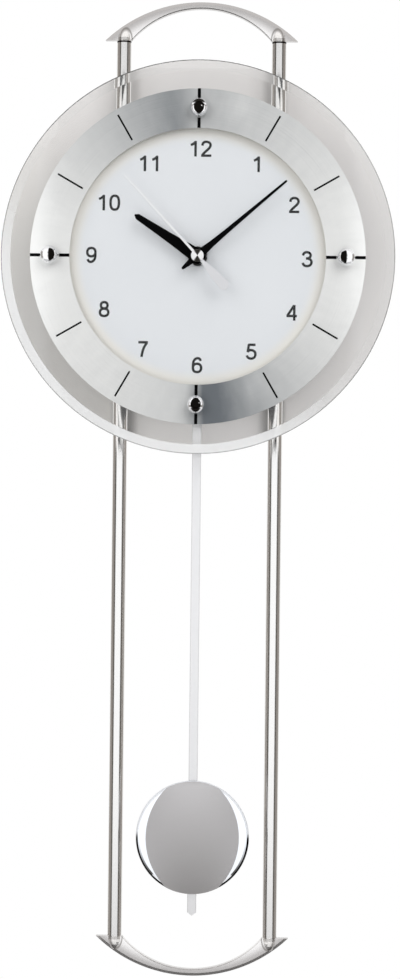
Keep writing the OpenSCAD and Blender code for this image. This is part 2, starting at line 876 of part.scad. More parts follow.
module battery_plus_contact() {
    hung() color("silver")
        translate([battery_len / 2 + 1.4, battery_y - 4, battery_z - 4]) cube([0.4, 8, 8]);
    hung() color("silver")
        translate([battery_len / 2 + 1.4, battery_y - 4, battery_z + 3]) cube([1.1, 8, 0.4]);
}

// Leaf spring: a plate on the bay's end wall with a bowed tongue against the battery
module battery_minus_contact() {
    hung() color("silver") translate([-battery_len / 2, battery_y - 3.5, battery_z]) {
        translate([-2.5, 0, -5]) cube([0.4, 7, 10]);
        translate([-2.4, 0, -4]) rotate([0, 30, 0]) cube([0.35, 7, 4]);
        translate([-0.4, 0, -0.7]) cube([0.4, 7, 1.2]);
    }
}

module pendulum_drive_coil() {
    hung() color("peru") at([0, drive_coil_y], case_z) difference() {
        rotate_extrude() polygon([
            [0, 0], [drive_coil_r, 0], [drive_coil_r, 0.6], [drive_coil_r - 0.5, 0.6],
            [drive_coil_r - 0.5, 3.4], [drive_coil_r, 3.4], [drive_coil_r, 4], [0, 4]
        ]);
        translate([0, 0, -eps]) cylinder(r = 1.2, h = 5);
    }
}

module rocker_pivot_pin() {
    hung() color("silver") at([0, pivot_y], 0) {
        translate([0, 0, rod_z - 0.5]) cylinder(r = pivot_pin_r, h = case_z - rod_z + 0.5);
        translate([0, 0, rod_z - 1.3]) cylinder(r = 2, h = 0.8);
        translate([0, 0, cover_z - 0.6]) cylinder(r = 2, h = 0.6);
    }
}

// Gears

// Outline of a clock wheel or pinion with cycloidal teeth: the flanks are radial inside
// the pitch circle, and outside it they are rolled by half the mating gear's radius
module toothed_outline(teeth, mate, share, rise) {
    r = pitch_radius(teeth);
    g = pitch_radius(mate) / 2;
    pitch = 360 / teeth;
    half = pitch * share / 2;
    last = rolled_to(r, g, r + rise);
    flank = [for (k = [0:flank_steps]) rolled(r, g, last * k / flank_steps)];
    polygon([
        for (tooth = [0:teeth - 1]) let (a = tooth * pitch) each concat(
            [polar(r - tooth_fall, a - half)],
            [for (k = [0:flank_steps]) spin(flank[k], a - half)],
            [for (k = [flank_steps:-1:0]) spin([flank[k][0], -flank[k][1]], a + half)],
            [polar(r - tooth_fall, a + half)]
        )
    ]);
}

// Wheel with crossing holes, a tooth of which points along direction
module wheel(teeth, mate, z, direction, holes) {
    r = pitch_radius(teeth);
    translate([0, 0, z]) rotate([0, 0, direction]) difference() {
        linear_extrude(wheel_t) toothed_outline(teeth, mate, wheel_share, wheel_rise);
        if (holes) for (a = [30:60:330]) rotate([0, 0, a]) translate([r * 0.6, 0, -eps])
            cylinder(r = r * 0.18, h = wheel_t + 2 * eps);
    }
}

// Pinion, a tooth of which points along direction
module pinion(teeth, mate, z, h, direction) {
    translate([0, 0, z]) rotate([0, 0, direction])
        linear_extrude(h) toothed_outline(teeth, mate, pinion_share, pinion_rise);
}

// Bores its children from end to end
module bored(r) {
    difference() {
        union() children();
        translate([0, 0, case_z]) cylinder(r = r, h = 2 * housing_depth);
    }
}

// The direction of a tooth whose neighbouring gap faces a gear that lies along direction
function gap_to(direction, teeth) = direction + 180 / teeth;

module hour_wheel() {
    hung() color("ivory") bored(hour_bore_r) {
        wheel(hour_teeth, pinion_teeth, hour_wheel_z, gap_to(motion_dir, hour_teeth), false);
        translate([0, 0, hour_wheel_z])
            cylinder(r = hour_tube_r, h = hour_hand_z - hour_wheel_z);
        translate([0, 0, hour_wheel_z])
            cylinder(r = hour_tube_r - 0.3, h = hour_hand_z - hour_wheel_z + hand_t + 0.3);
    }
}

module minute_wheel() {
    hung() color("ivory") bored(minute_bore_r) {
        wheel(minute_teeth, pinion_teeth, minute_wheel_z, minute_idler_dir, true);
        pinion(cannon_teeth, motion_teeth, motion_wheel_z - 0.3, 1.4, motion_dir);
        translate([0, 0, minute_wheel_z])
            cylinder(r = minute_tube_r, h = minute_hand_z - minute_wheel_z);
        translate([0, 0, minute_wheel_z])
            cylinder(r = minute_tube_r - 0.3, h = minute_hand_z - minute_wheel_z + hand_t + 0.3);
    }
}

module second_wheel() {
    hung() color("ivory") {
        wheel(second_teeth, pinion_teeth, second_wheel_z, second_idler_dir, true);
        translate([0, 0, case_z + 0.3]) cylinder(r = second_r, h = second_hand_z - case_z - 0.3);
        translate([0, 0, second_wheel_z]) cylinder(r = 1.1, h = 2.2);
        translate([0, 0, second_hand_z - 0.1]) cylinder(r = 0.4, h = 0.9);
    }
}

module motion_wheel() {
    hung() color("ivory") at(motion_at) bored(pivot_bore_r) {
        wheel(motion_teeth, cannon_teeth, motion_wheel_z,
            gap_to(motion_dir + 180, motion_teeth), false);
        pinion(pinion_teeth, hour_teeth, motion_wheel_z, 2.7, motion_dir + 180);
    }
}

module idler_minute() {
    hung() color("ivory") at(minute_idler_at) bored(pivot_bore_r) {
        wheel(minute_idler_teeth, pinion_teeth, minute_idler_z, minute_rotor_dir, true);
        pinion(pinion_teeth, minute_teeth, minute_idler_z, 2.6,
            gap_to(minute_idler_dir + 180, pinion_teeth));
    }
}

module idler_second() {
    hung() color("ivory") at(second_idler_at) bored(pivot_bore_r) {
        wheel(second_idler_teeth, pinion_teeth, second_idler_z, second_rotor_dir, true);
        pinion(pinion_teeth, second_teeth, second_wheel_z - 0.1,
            second_idler_z - second_wheel_z + 0.5,
            gap_to(second_idler_dir + 180, pinion_teeth));
    }
}

// Rotor: a round magnet under its pinion
module rotor(z, pinion_z, pinion_h, direction, mate) {
    bored(pivot_bore_r) {
        translate([0, 0, z]) cylinder(r = rotor_r, h = rotor_h);
        translate([0, 0, z]) cylinder(r = 1, h = pinion_z - z + 0.1);
        pinion(pinion_teeth, mate, pinion_z, pinion_h,
            gap_to(direction + 180, pinion_teeth));
    }
}

module rotor_minute() {
    hung() color("dimgray") at(minute_rotor_at)
        rotor(minute_idler_z - 2.3, minute_idler_z - 0.2, 1.2, minute_rotor_dir,
            minute_idler_teeth);
}

module rotor_second() {
    hung() color("dimgray") at(second_rotor_at)
        rotor(second_wheel_z - 0.8, second_idler_z - 0.1, 1.1, second_rotor_dir,
            second_idler_teeth);
}

// Hands: each outline is drawn pointing up, from pairs of [distance, half the width]

module tapered_blade(sections) {
    last = len(sections) - 1;
    polygon(concat(
        [for (k = [0:last]) [sections[k][1], sections[k][0]]],
        [for (k = [last:-1:0]) [-sections[k][1], sections[k][0]]]
    ));
}

module hour_hand() {
    tip_r = 1.7;
    hung() color("black") translate([0, 0, hour_hand_z]) rotate([0, 0, -hour_angle])
        linear_extrude(hand_t) difference() {
            union() {
                tapered_blade([
                    [0, hub_r - 0.5], [6, 4], [14.4, 3.35], [22.9, 2.8],
                    [hour_len - 2, tip_r + 0.1], [hour_len - 0.7, tip_r - 0.9], [hour_len, 0.5]
                ]);
                circle(hub_r - 0.5);
            }
            circle(hour_tube_r - 0.3 + slip);
        }
}

module minute_hand() {
    tip_r = 0.65;
    tail = 12.3;
    hung() color("black") translate([0, 0, minute_hand_z]) rotate([0, 0, -minute_angle])
        linear_extrude(hand_t) difference() {
            union() {
                tapered_blade([
                    [-tail + 0.9, 0.9], [-4, 2], [0, hub_r - 1.2], [4.5, 2.5], [11, 1.9],
                    [22, 1.45], [50, 0.95], [minute_len - tip_r, tip_r]
                ]);
                translate([0, minute_len - tip_r]) circle(tip_r);
                translate([0, -tail + 0.9]) circle(0.9);
                circle(hub_r);
            }
            circle(minute_tube_r - 0.3 + slip);
        }
}

module second_hand() {
    tail = 27;
    tail_r = 3.2;
    hung() color("white") translate([0, 0, second_hand_z]) rotate([0, 0, -second_angle])
        linear_extrude(hand_t - 0.2) difference() {
            union() {
                tapered_blade([
                    [-tail + tail_r, tail_r], [-15, 2.6], [-5, 1.1], [0, 0.9], [6, 0.75],
                    [second_len - 0.4, 0.4]
                ]);
                translate([0, second_len - 0.4]) circle(0.4);
                translate([0, -tail + tail_r]) circle(tail_r);
                circle(2);
            }
            circle(0.4 + slip);
        }
}

// Turned cap on the second hand, a shallow cone with a rounded rim
module hub_cap() {
    hung() color("white") translate([0, 0, second_hand_z + hand_t - 0.2]) difference() {
        rotate_extrude() polygon([
            [0, 0], [cap_r - 0.3, 0], [cap_r, 0.25], [cap_r, 0.55], [cap_r - 0.25, 0.9],
            [0, cap_h]
        ]);
        translate([0, 0, -eps]) cylinder(r = 0.4 + slip, h = 1);
    }
}

// Pendulum

// Arm on the pivot pin: it carries the magnet in front of the drive coil, and the rod
module rocker_arm() {
    hung() color("dimgray") difference() {
        union() {
            at([0, pivot_y], rocker_z) cylinder(r = rocker_w / 2 + 1, h = rocker_t);
            translate([-rocker_w / 2, rocker_foot_y, rocker_z])
                cube([rocker_w, pivot_y - rocker_foot_y, rocker_t]);
            at([0, rocker_foot_y], rocker_z) cylinder(r = rocker_w / 2, h = rocker_t);
            at([0, rocker_foot_y], rod_z - 1.6)
                cylinder(r = rocker_stud_r, h = rocker_z - rod_z + 1.8);
            at([0, rocker_foot_y], rod_z - 1.6) cylinder(r = 2.1, h = 1.4);
        }
        at([0, pivot_y], rocker_z - eps)
            cylinder(r = pivot_pin_r + run, h = rocker_t + 2 * eps);
        at([0, drive_coil_y], rocker_z + rocker_t - magnet_t)
            cylinder(r = magnet_r + slip, h = magnet_t + eps);
    }
}

module rocker_magnet() {
    hung() color("silver") at([0, drive_coil_y], rocker_z + rocker_t - magnet_t)
        cylinder(r = magnet_r, h = magnet_t);
}

// Flat strip, hung on the arm's stud by a round eye, with a pointed end
module pendulum_rod() {
    hung() color("silver") translate([0, 0, rod_z]) linear_extrude(rod_t) difference() {
        union() {
            polygon([
                [-rod_w / 2, rocker_foot_y], [-rod_w / 2, rod_shoulder - rod_tip_y],
                [0, -rod_tip_y], [rod_w / 2, rod_shoulder - rod_tip_y],
                [rod_w / 2, rocker_foot_y]
            ]);
            translate([0, rocker_foot_y]) circle(rod_w / 2 + 0.8);
        }
        translate([0, rocker_foot_y]) circle(rocker_stud_r + slip);
    }
}

module bob_disc() {
    r = bob_d / 2;
    hung() color("silver") at([0, -bob_y], rod_z + rod_t) rotate_extrude() polygon([
        [0, 0], [r - 0.5, 0], [r, 0.5], [r, bob_t - 1.5], [r - 0.4, bob_t - 0.7],
        [r - 1.3, bob_t - 0.15], [r - 2.2, bob_t], [0, bob_t]
    ]);
}

// Barrel-shaped plate: a slightly domed disc cut by two larger circles
module bob_plate() {
    r = bob_d / 2 - 0.25;
    hung() color("gray") at([0, -bob_y], rod_z + rod_t + bob_t) intersection() {
        rotate_extrude() polygon(concat(
            [[0, 0], [r, 0]],
            [for (k = [dome_steps:-1:1]) [r * k / dome_steps, dome_height(r * k / dome_steps)]],
            [[0, dome_height(r / dome_steps)]]
        ));
        at([bob_plate_w / 2 - bob_plate_arc_r, 0], -eps)
            cylinder(r = bob_plate_arc_r, h = bob_plate_t + 2 * eps, $fn = 192);
        at([bob_plate_arc_r - bob_plate_w / 2, 0], -eps)
            cylinder(r = bob_plate_arc_r, h = bob_plate_t + 2 * eps, $fn = 192);
    }
}

// Clip behind the bob, with a channel that grips the rod
module bob_clip() {
    hung() color("gray") translate([0, -bob_y, 0]) difference() {
        translate([-clip_w / 2, -clip_h / 2, rod_z - 1.4])
            cube([clip_w, clip_h, rod_t + 1.4]);
        translate([-rod_w / 2 - slip, -clip_h, rod_z])
            cube([rod_w + 2 * slip, 2 * clip_h, rod_t + 1]);
    }
}

module push_button(y) {
    at([button_x, y], 0) {
        translate([0, 0, cover_z - button_out])
            cylinder(r = button_r, h = button_top_z - cover_z + button_out);
        translate([0, 0, case_z + 0.1]) cylinder(r = button_r + 0.9, h = 0.9);
    }
}

module set_button() {
    hung() color("white") push_button(button_ys[0]);
}

module reset_button() {
    hung() color("white") push_button(button_ys[1]);
}

tube_left();
tube_right();
top_bow();
bottom_bow();
bow_grub_screws();
wall_bumpers();
tube_saddles();
saddle_screws();
rear_housing();
hanger_plate();
hanger_screws();
glass_disc();
dial_disc();
chapter_ring();
hour_marks();
stud_rods();
dome_nuts();
stud_washers();
stud_sleeves();
stud_hex_nuts();
movement_case();
movement_cover();
movement_screws();
centre_nut();
circuit_board();
quartz_crystal();
receiver_chip();
ferrite_rod();
antenna_coil();
stator_minute();
coil_minute();
stator_second();
coil_second();
battery();
battery_plus_contact();
battery_minus_contact();
pendulum_drive_coil();
rocker_pivot_pin();
hour_hand();
hour_wheel();
minute_hand();
minute_wheel();
second_hand();
second_wheel();
hub_cap();
motion_wheel();
idler_minute();
rotor_minute();
idler_second();
rotor_second();
rocker_arm();
rocker_magnet();
pendulum_rod();
bob_disc();
bob_plate();
bob_clip();
set_button();
reset_button();
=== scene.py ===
import math

import bmesh
import bpy
from mathutils import Matrix, Vector


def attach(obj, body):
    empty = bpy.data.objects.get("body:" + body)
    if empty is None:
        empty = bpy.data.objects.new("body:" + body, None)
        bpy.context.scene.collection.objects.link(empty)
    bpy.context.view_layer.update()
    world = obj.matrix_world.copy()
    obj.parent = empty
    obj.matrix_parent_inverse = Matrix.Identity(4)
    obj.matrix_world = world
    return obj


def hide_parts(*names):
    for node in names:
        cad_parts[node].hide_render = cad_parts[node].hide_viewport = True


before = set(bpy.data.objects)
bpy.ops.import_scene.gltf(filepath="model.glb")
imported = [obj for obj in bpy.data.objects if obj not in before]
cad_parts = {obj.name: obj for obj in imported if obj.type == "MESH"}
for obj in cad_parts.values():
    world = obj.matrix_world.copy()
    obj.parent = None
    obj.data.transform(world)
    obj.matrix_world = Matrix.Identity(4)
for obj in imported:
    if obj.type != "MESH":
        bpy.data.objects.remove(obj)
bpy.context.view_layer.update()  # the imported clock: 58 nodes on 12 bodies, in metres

bpy.context.scene.view_settings.view_transform = "Standard"
dialHeight = -0.076  # the dial's centre on the world's z axis; the wall is the plane y = 0
inDegrees = 180 / math.pi


def paint(red, green, blue):
    # screen values from 0 to 255 as the linear colour that the shaders take
    def straighten(value):
        value = value / 255
        return value / 12.92 if value <= 0.04045 else ((value + 0.055) / 1.055) ** 2.4
    return (straighten(red), straighten(green), straighten(blue), 1)


# Shader maths


class Wire:  # a socket's value, so that plain sums build Math nodes
    def __init__(self, sheet, socket):
        self.sheet = sheet
        self.socket = socket

    def __add__(self, other):
        return self.sheet.maths("ADD", self, other)

    __radd__ = __add__

    def __sub__(self, other):
        return self.sheet.maths("SUBTRACT", self, other)

    def __rsub__(self, other):
        return self.sheet.maths("SUBTRACT", other, self)

    def __mul__(self, other):
        return self.sheet.maths("MULTIPLY", self, other)

    __rmul__ = __mul__

    def __truediv__(self, other):
        return self.sheet.maths("DIVIDE", self, other)

    def __pow__(self, other):
        return self.sheet.maths("POWER", self, other)

    def __abs__(self):
        return self.sheet.maths("ABSOLUTE", self)


class Sheet:  # the node tree of a material, of the world or of a modifier
    def __init__(self, tree, material=None):
        self.tree = tree
        self.material = material
        tree.nodes.clear()

    def put(self, kind, sockets=None, **settings):
        node = self.tree.nodes.new(kind)
        for name, value in settings.items():
            if name == "stops":
                self.setStops(node.color_ramp, value)
            else:
                setattr(node, name, value)
        for name, value in (sockets or {}).items():
            if isinstance(value, Wire):
                self.tree.links.new(value.socket, node.inputs[name])
            else:
                node.inputs[name].default_value = value
        return node

    def setStops(self, ramp, stops):
        while len(ramp.elements) < len(stops):
            ramp.elements.new(0.5)
        for element, (position, colour) in zip(ramp.elements, stops):
            element.position = position
            element.color = colour

    def get(self, kind, sockets=None, output=0, **settings):
        return Wire(self, self.put(kind, sockets, **settings).outputs[output])

    def maths(self, operation, *values):
        return self.get("ShaderNodeMath", dict(enumerate(values)), operation=operation)

    def step(self, value, low, high):
        # 0 below low, 1 above high, smooth between
        return self.get("ShaderNodeMapRange", {
            "Value": value, "From Min": low, "From Max": high}, interpolation_type="SMOOTHSTEP")

    def between(self, value, rise, fall):
        # 1 between a soft rise and a soft fall, 0 outside them
        return self.step(value, *rise) * (1.0 - self.step(value, *fall))

    def place(self, centre=(0, 0, 0), stretch=(1, 1, 1)):
        # the object's own coordinates, measured from a centre and stretched
        spot = self.get("ShaderNodeTexCoord", output="Object")
        moved = self.get("ShaderNodeVectorMath", {0: spot, 1: centre}, operation="SUBTRACT")
        return self.get("ShaderNodeVectorMath", {0: moved, 1: stretch}, operation="MULTIPLY")

    def spot(self, centre=(0, 0, 0)):
        # x, y and z from a centre
        node = self.put("ShaderNodeSeparateXYZ", {0: self.place(centre)})
        return [Wire(self, output) for output in node.outputs]

    def join(self, x, y, z):
        return self.get("ShaderNodeCombineXYZ", {0: x, 1: y, 2: z})

    def round(self, height):
        # x, z and the distance from the axis that runs through a height
        x, y, z = self.spot((0, 0, height))
        return x, z, self.length(x, z)

    def length(self, x, z):
        return self.maths("SQRT", x * x + z * z)

    def noise(self, scale, detail=2.0, roughness=0.5, at=None):
        return self.get("ShaderNodeTexNoise", {
            "Vector": at or self.place(), "Scale": scale, "Detail": detail,
            "Roughness": roughness})

    def cells(self, scale, output="Distance", at=None):
        return self.get(
            "ShaderNodeTexVoronoi", {"Vector": at or self.place(), "Scale": scale}, output)

    def blend(self, factor, first, second):
        # the node clamps its factor by itself
        return self.get("ShaderNodeMix", {0: factor, 6: first, 7: second}, 2, data_type="RGBA")

    def vary(self, base, *swings):
        # a base value that noises from 0 to 1 swing up and down, each over its own range
        for noise, swing in swings:
            base = base + (noise - 0.5) * swing
        return base

    def bump(self, height, strength, distance):
        return self.get("ShaderNodeBump", {
            "Height": height, "Strength": strength, "Distance": distance})

    def mixed(self, factor, first, second):
        return self.get("ShaderNodeMixShader", {0: factor, 1: first, 2: second})

    def coat(self, tone, roughness, normal=None, metallic=0.0, others=None):
        sockets = {"Base Color": tone, "Roughness": roughness, "Metallic": metallic}
        if normal:
            sockets["Normal"] = normal
        return self.get("ShaderNodeBsdfPrincipled", {**sockets, **(others or {})})

    def surface(self, *values, **named):
        # a coat that ends the material
        return self.close(self.coat(*values, **named))

    def glow(self, colour):
        return self.get("ShaderNodeEmission", {"Color": colour, "Strength": 1.0})

    def ray(self, *kinds):
        # 1 for a ray of any of these kinds
        path, seen = self.put("ShaderNodeLightPath"), 0.0
        for kind in kinds:
            seen = self.maths("MAXIMUM", seen, Wire(self, path.outputs["Is %s Ray" % kind]))
        return seen

    def close(self, shader):
        self.put("ShaderNodeOutputMaterial", {"Surface": shader})
        return self.material


def newFinish(name):
    material = bpy.data.materials.new(name)
    material.use_nodes = True
    return Sheet(material.node_tree, material)


plastic = {
    "cloudScale": 45.0,
    "cloudShare": 0.9,
    "grainShare": 0.35,
    "least": -0.2,
    "grainSwing": 0.16,  # of the roughness
    "cloudSwing": 0.1,
    "strength": 0.35,
}


def plasticFinish(name, colour, wornColour, grain, gloss, relief):
    # moulded plastic: a fine eroded grain with slow changes of tone over it
    sheet = newFinish(name)
    fine = sheet.noise(grain, 3.0, 0.6)
    cloudy = sheet.noise(plastic["cloudScale"])
    worn = cloudy * plastic["cloudShare"] + fine * plastic["grainShare"] + plastic["least"]
    return sheet.surface(
        sheet.blend(worn, colour, wornColour),
        sheet.vary(gloss, (fine, plastic["grainSwing"]), (cloudy, plastic["cloudSwing"])),
        sheet.bump(fine, plastic["strength"], relief), others={"IOR": 1.5})


drawn = {
    "slowScale": 30.0,
    "lineShare": 1.1,
    "least": -0.05,
    "slowShare": 0.3,
    "lineSwing": 0.16,  # of the roughness
    "slowSwing": 0.04,
    "strength": 0.25,
}


def drawnMetal(sheet, colour, darkColour, stretch, gloss, relief,
               swing=drawn["lineSwing"], seam=None):
    # metal with fine lines along the way it was drawn, rolled or brushed
    lines = sheet.noise(1.0, 4.0, 0.62, at=sheet.place(stretch=stretch))
    slow = sheet.noise(drawn["slowScale"])
    bright = sheet.vary(lines * drawn["lineShare"] + drawn["least"], (slow, drawn["slowShare"]))
    tone = sheet.blend(bright, darkColour, colour)
    if seam:
        tone = sheet.blend(seam[0], tone, seam[1])
    return sheet.surface(
        tone, sheet.vary(gloss, (lines, swing), (slow, drawn["slowSwing"])),
        sheet.bump(lines, drawn["strength"], relief), metallic=1.0)


plating = {
    "hazeScale": 900.0,
    "rippleScale": 160.0,
    "gloss": 0.025,
    "hazeSwing": 0.02,
    "strength": 0.04,
    "relief": 0.00004,
}


def plated(sheet):
    # very fine haze, the roughness that follows it, and the faint ripple of polishing
    haze = sheet.noise(plating["hazeScale"], 3.0, 0.6)
    ripple = sheet.noise(plating["rippleScale"], 1.0)
    return (haze, haze * plating["hazeSwing"] + plating["gloss"],
            sheet.bump(ripple, plating["strength"], plating["relief"]))


chrome = {
    "tone": paint(240, 240, 241),
    "hazeShade": (0.93, 0.93, 0.94),  # share of each colour that the haze leaves
}


def chromeFinish():
    sheet = newFinish("chrome")
    haze, rough, normal = plated(sheet)
    hazy = tuple(a * b for a, b in zip(chrome["tone"], chrome["hazeShade"])) + (1,)
    return sheet.surface(sheet.blend(haze, chrome["tone"], hazy), rough, normal, metallic=1.0)


ring = {
    # painted sheen: the lit tone and the shaded tone of the fan
    "paintedLitTone": paint(250, 250, 248),
    "darkTone": paint(119, 124, 129),
    "lobeAngle": 85,  # clock degrees of the brightest painted sheen; its twin is half a turn on
    "lobeReach": 85.0,
    # depth and power of the fall before and after each painted sheen, on the right and on the
    # left
    "rightBefore": (0.5, 1.3),
    "rightAfter": (0.97, 2.6),
    "leftBefore": (0.33, 2.5),
    "leftAfter": (0.8, 1.9),
    # where the painted fans meet: degrees of the joint and its sheen at 6, and what 12 adds to
    # them
    "jointWidth": (5.0, 6.0),
    "jointSheen": (0.3, 0.25),
    "lineCount": 5200,
    "lineSwing": 0.24,
    "fanSwing": 0.16,
    "gloss": 0.3,
    "glossSwing": 0.16,
}


def ringFinish():
    # turned aluminium: fine circles, and a painted sheen: the fan of light and dark that such
    # circles mirror, painted into the colour by clock angle
    sheet = newFinish("turnedRing")
    x, z, radius = sheet.round(dialHeight)
    clockAngle = sheet.maths("ARCTAN2", x, z) * inDegrees
    half = sheet.maths("FLOORED_MODULO", clockAngle, 180.0)
    reach = (half - ring["lobeAngle"]) / ring["lobeReach"]
    late = sheet.maths("GREATER_THAN", reach, 0.0)
    onLeft = sheet.maths("LESS_THAN", clockAngle, 0.0)
    atTop = sheet.maths("GREATER_THAN", z, 0.0)

    def chosen(k):
        right = ring["rightBefore"][k] + late * (ring["rightAfter"][k] - ring["rightBefore"][k])
        left = ring["leftBefore"][k] + late * (ring["leftAfter"][k] - ring["leftBefore"][k])
        return right + (left - right) * onLeft
    paintedSheen = 1.0 - abs(reach) ** chosen(1) * chosen(0)
    # the two painted fans of sheen run into each other softly at 12 and sharply at 6
    width, level = (at6 + atTop * more for at6, more in (ring["jointWidth"], ring["jointSheen"]))
    joint = sheet.step(sheet.maths("MINIMUM", half, 180.0 - half), 0.0, width)
    paintedSheen = paintedSheen * joint + level * (1.0 - joint)
    turning = sheet.noise(
        1.0, 4.0, 0.65, at=sheet.join(radius * ring["lineCount"], clockAngle * 0.012, 0.0))
    fan = sheet.noise(1.0, 3.0, 0.6, at=sheet.join(0.0, clockAngle * 0.22, radius * 60.0))
    tone = sheet.vary(paintedSheen, (turning, ring["lineSwing"]), (fan, ring["fanSwing"]))
    return sheet.surface(
        sheet.blend(tone, ring["darkTone"], ring["paintedLitTone"]),
        sheet.vary(ring["gloss"], (turning, ring["glossSwing"])),
        sheet.bump(turning, 0.2, 0.00002), metallic=0.2)


ball = {
    "circleRadius": 0.09,
    "tone": paint(240, 240, 241),
    "hazeTone": paint(232, 232, 234),
    # painted reflection of the dark studio, on the outer side of the nuts at 12 and 6
    "paintedReflectionTone": paint(34, 31, 28),
    "capStart": (0.0018, 0.0027),
    "capHalfWidth": 0.0034,
    "capHalfWidthAbove": 0.0012,  # added for the nut at 12
    "capReach": 0.005,
    "capEdge": (0.9, 1.05),
}


def ballFinish():
    # chromed ball nuts: those at 12 and 6 carry a painted reflection, a dark cap on their outer
    # side
    sheet = newFinish("ballChrome")
    x, z, radius = sheet.round(dialHeight)
    outward = abs(z) - ball["circleRadius"]
    above = sheet.maths("GREATER_THAN", z, 0.0)
    across = x / (ball["capHalfWidth"] + above * ball["capHalfWidthAbove"])
    oval = sheet.length(across, outward / ball["capReach"])
    # painted reflection: a dark oval cap on the outer side of the nut
    cap = sheet.step(outward, *ball["capStart"]) * (1.0 - sheet.step(oval, *ball["capEdge"]))
    haze, rough, normal = plated(sheet)
    shiny = sheet.blend(haze, ball["tone"], ball["hazeTone"])
    return sheet.surface(sheet.blend(cap, shiny, ball["paintedReflectionTone"]), rough, normal, metallic=1.0)


glass = {
    "bodyTone": (0.985, 0.985, 0.98, 1),
    "paintedLitRim": paint(232, 232, 230),
    "paintedShadedRim": paint(112, 114, 111),
    "rimRadius": (0.1192, 0.1198),
    "bevelRadius": (0.114, 0.1143),
    "bevelPaintedGlowTone": (0.9, 0.9, 0.9, 1),
    "bevelPaintedGlow": (0.05, 0.6),  # painted glow over the whole bevel, and a painted highlight added low on the left
    "clearTone": (0.97, 0.97, 0.965, 1),
}


def glassFinish():
    # float glass: clear body, grey-green ground rim painted lighter at the top and darker at the
    # bottom as light and shade, a painted glow on the bevel, lamps shine through it
    sheet = newFinish("bevelledGlass")
    x, z, radius = sheet.round(dialHeight)
    rim = sheet.step(radius, *glass["rimRadius"])
    spot = sheet.place(centre=(0, 0, dialHeight))
    smear = sheet.noise(22.0, 3.0, 0.5, at=spot)
    grit = sheet.noise(2600.0, at=spot)
    # painted light and shade: the rim lighter at the top, darker at the bottom
    rimToneWithPaintedLight = sheet.blend(sheet.step(z, -0.06, 0.06), glass["paintedShadedRim"], glass["paintedLitRim"])
    body = sheet.coat(
        sheet.blend(rim, glass["bodyTone"], rimToneWithPaintedLight),
        rim * (0.1 + grit * 0.12) + smear * 0.012,
        sheet.bump(smear, 0.02, 0.0001), others={"Transmission Weight": 1.0, "IOR": 1.5})
    bevelPaintedGlow = sheet.get("ShaderNodeBsdfDiffuse", {"Color": glass["bevelPaintedGlowTone"]})
    # painted highlight on the bevel, strongest low on the left
    low = sheet.step(0.0 - x * 0.6 - z, 0.0, 0.1)
    bevelPaintedGlowMask = sheet.step(radius, *glass["bevelRadius"]) * (
        glass["bevelPaintedGlow"][0] + low * glass["bevelPaintedGlow"][1]) * (1.0 - rim * 0.8)
    through = sheet.get("ShaderNodeBsdfTransparent", {"Color": glass["clearTone"]})
    lampRay = sheet.ray("Shadow", "Diffuse")
    return sheet.close(sheet.mixed(lampRay, sheet.mixed(bevelPaintedGlowMask, body, bevelPaintedGlow), through))


def clearPlasticFinish():
    # clear washers and sleeves: faint flow marks from the mould
    sheet = newFinish("clearSleeve")
    flow = sheet.noise(700.0, 3.0, 0.6)
    return sheet.surface(
        sheet.blend(flow, (0.93, 0.94, 0.94, 1), (0.86, 0.88, 0.88, 1)), 0.12 + flow * 0.14,
        sheet.bump(flow, 0.1, 0.00003), others={"Transmission Weight": 0.85, "IOR": 1.49})


cap = {
    # painted highlight: the dark and the bright tone of the bow-tie
    "darkTone": paint(44, 42, 38),
    "paintedLitTone": paint(250, 250, 250),
    "fanEdge": (44.0, 66.0),  # degrees from the sideways line
}


def capFinish():
    # turned cap: a painted highlight, the bow-tie of light and dark that fine circles would give
    # round its middle
    sheet = newFinish("turnedCap")
    x, z, radius = sheet.round(dialHeight)
    around = abs(sheet.maths("ARCTAN2", z, x)) * inDegrees
    # painted highlight: bright lobes to the sides, dark above and below
    fan = 1.0 - sheet.step(sheet.maths("MINIMUM", around, 180.0 - around), *cap["fanEdge"])
    turning = sheet.noise(1.0, 3.0, 0.6, at=sheet.join(radius * 9000.0, around * 0.01, 0.0))
    tone = sheet.vary(fan, (turning, 0.2))
    return sheet.surface(
        sheet.blend(tone, cap["darkTone"], cap["paintedLitTone"]), sheet.vary(0.3, (turning, 0.1)),
        sheet.bump(turning, 0.2, 0.00001), metallic=0.1)


dial = {
    "tone": paint(240, 242, 246),
    "fleckTone": paint(228, 231, 236),
    "gloss": 0.46,
    "paintedRingGlowTone": paint(247, 244, 238),
    "paintedRingGlowRadius": (0.069, 0.077),  # over which a painted glow, the ring's warm reflected light, grows towards the ring
    "fleckScale": 5200.0,
    "veilScale": 18.0,
    "gritScale": 3800.0,
}


def dialFinish():
    # silver-white lacquer: fine metallic flecks under a matt coat, and a painted glow of warm
    # reflected light near the ring
    sheet = newFinish("silverDial")
    spot = sheet.place(centre=(0, 0, dialHeight))
    fleck = sheet.cells(dial["fleckScale"], at=spot)
    veil = sheet.noise(dial["veilScale"], at=spot)
    grit = sheet.noise(dial["gritScale"], 2.0, 0.6, at=spot)
    tone = sheet.blend(
        sheet.vary(fleck * 0.55, (veil, 0.6)) + 0.1, dial["tone"], dial["fleckTone"])
    x, z, radius = sheet.round(dialHeight)
    paintedRingGlow = sheet.step(radius, *dial["paintedRingGlowRadius"])
    return sheet.surface(
        sheet.blend(paintedRingGlow, tone, dial["paintedRingGlowTone"]), sheet.vary(dial["gloss"], (grit, 0.14)),
        sheet.bump(grit, 0.12, 0.00001), metallic=0.12)


lacquer = {
    "peelScale": 1400.0,
    "dustScale": 5200.0,
    "dustSwing": 0.18,  # of the roughness
    "strength": 0.2,
    "relief": 0.00002,
}


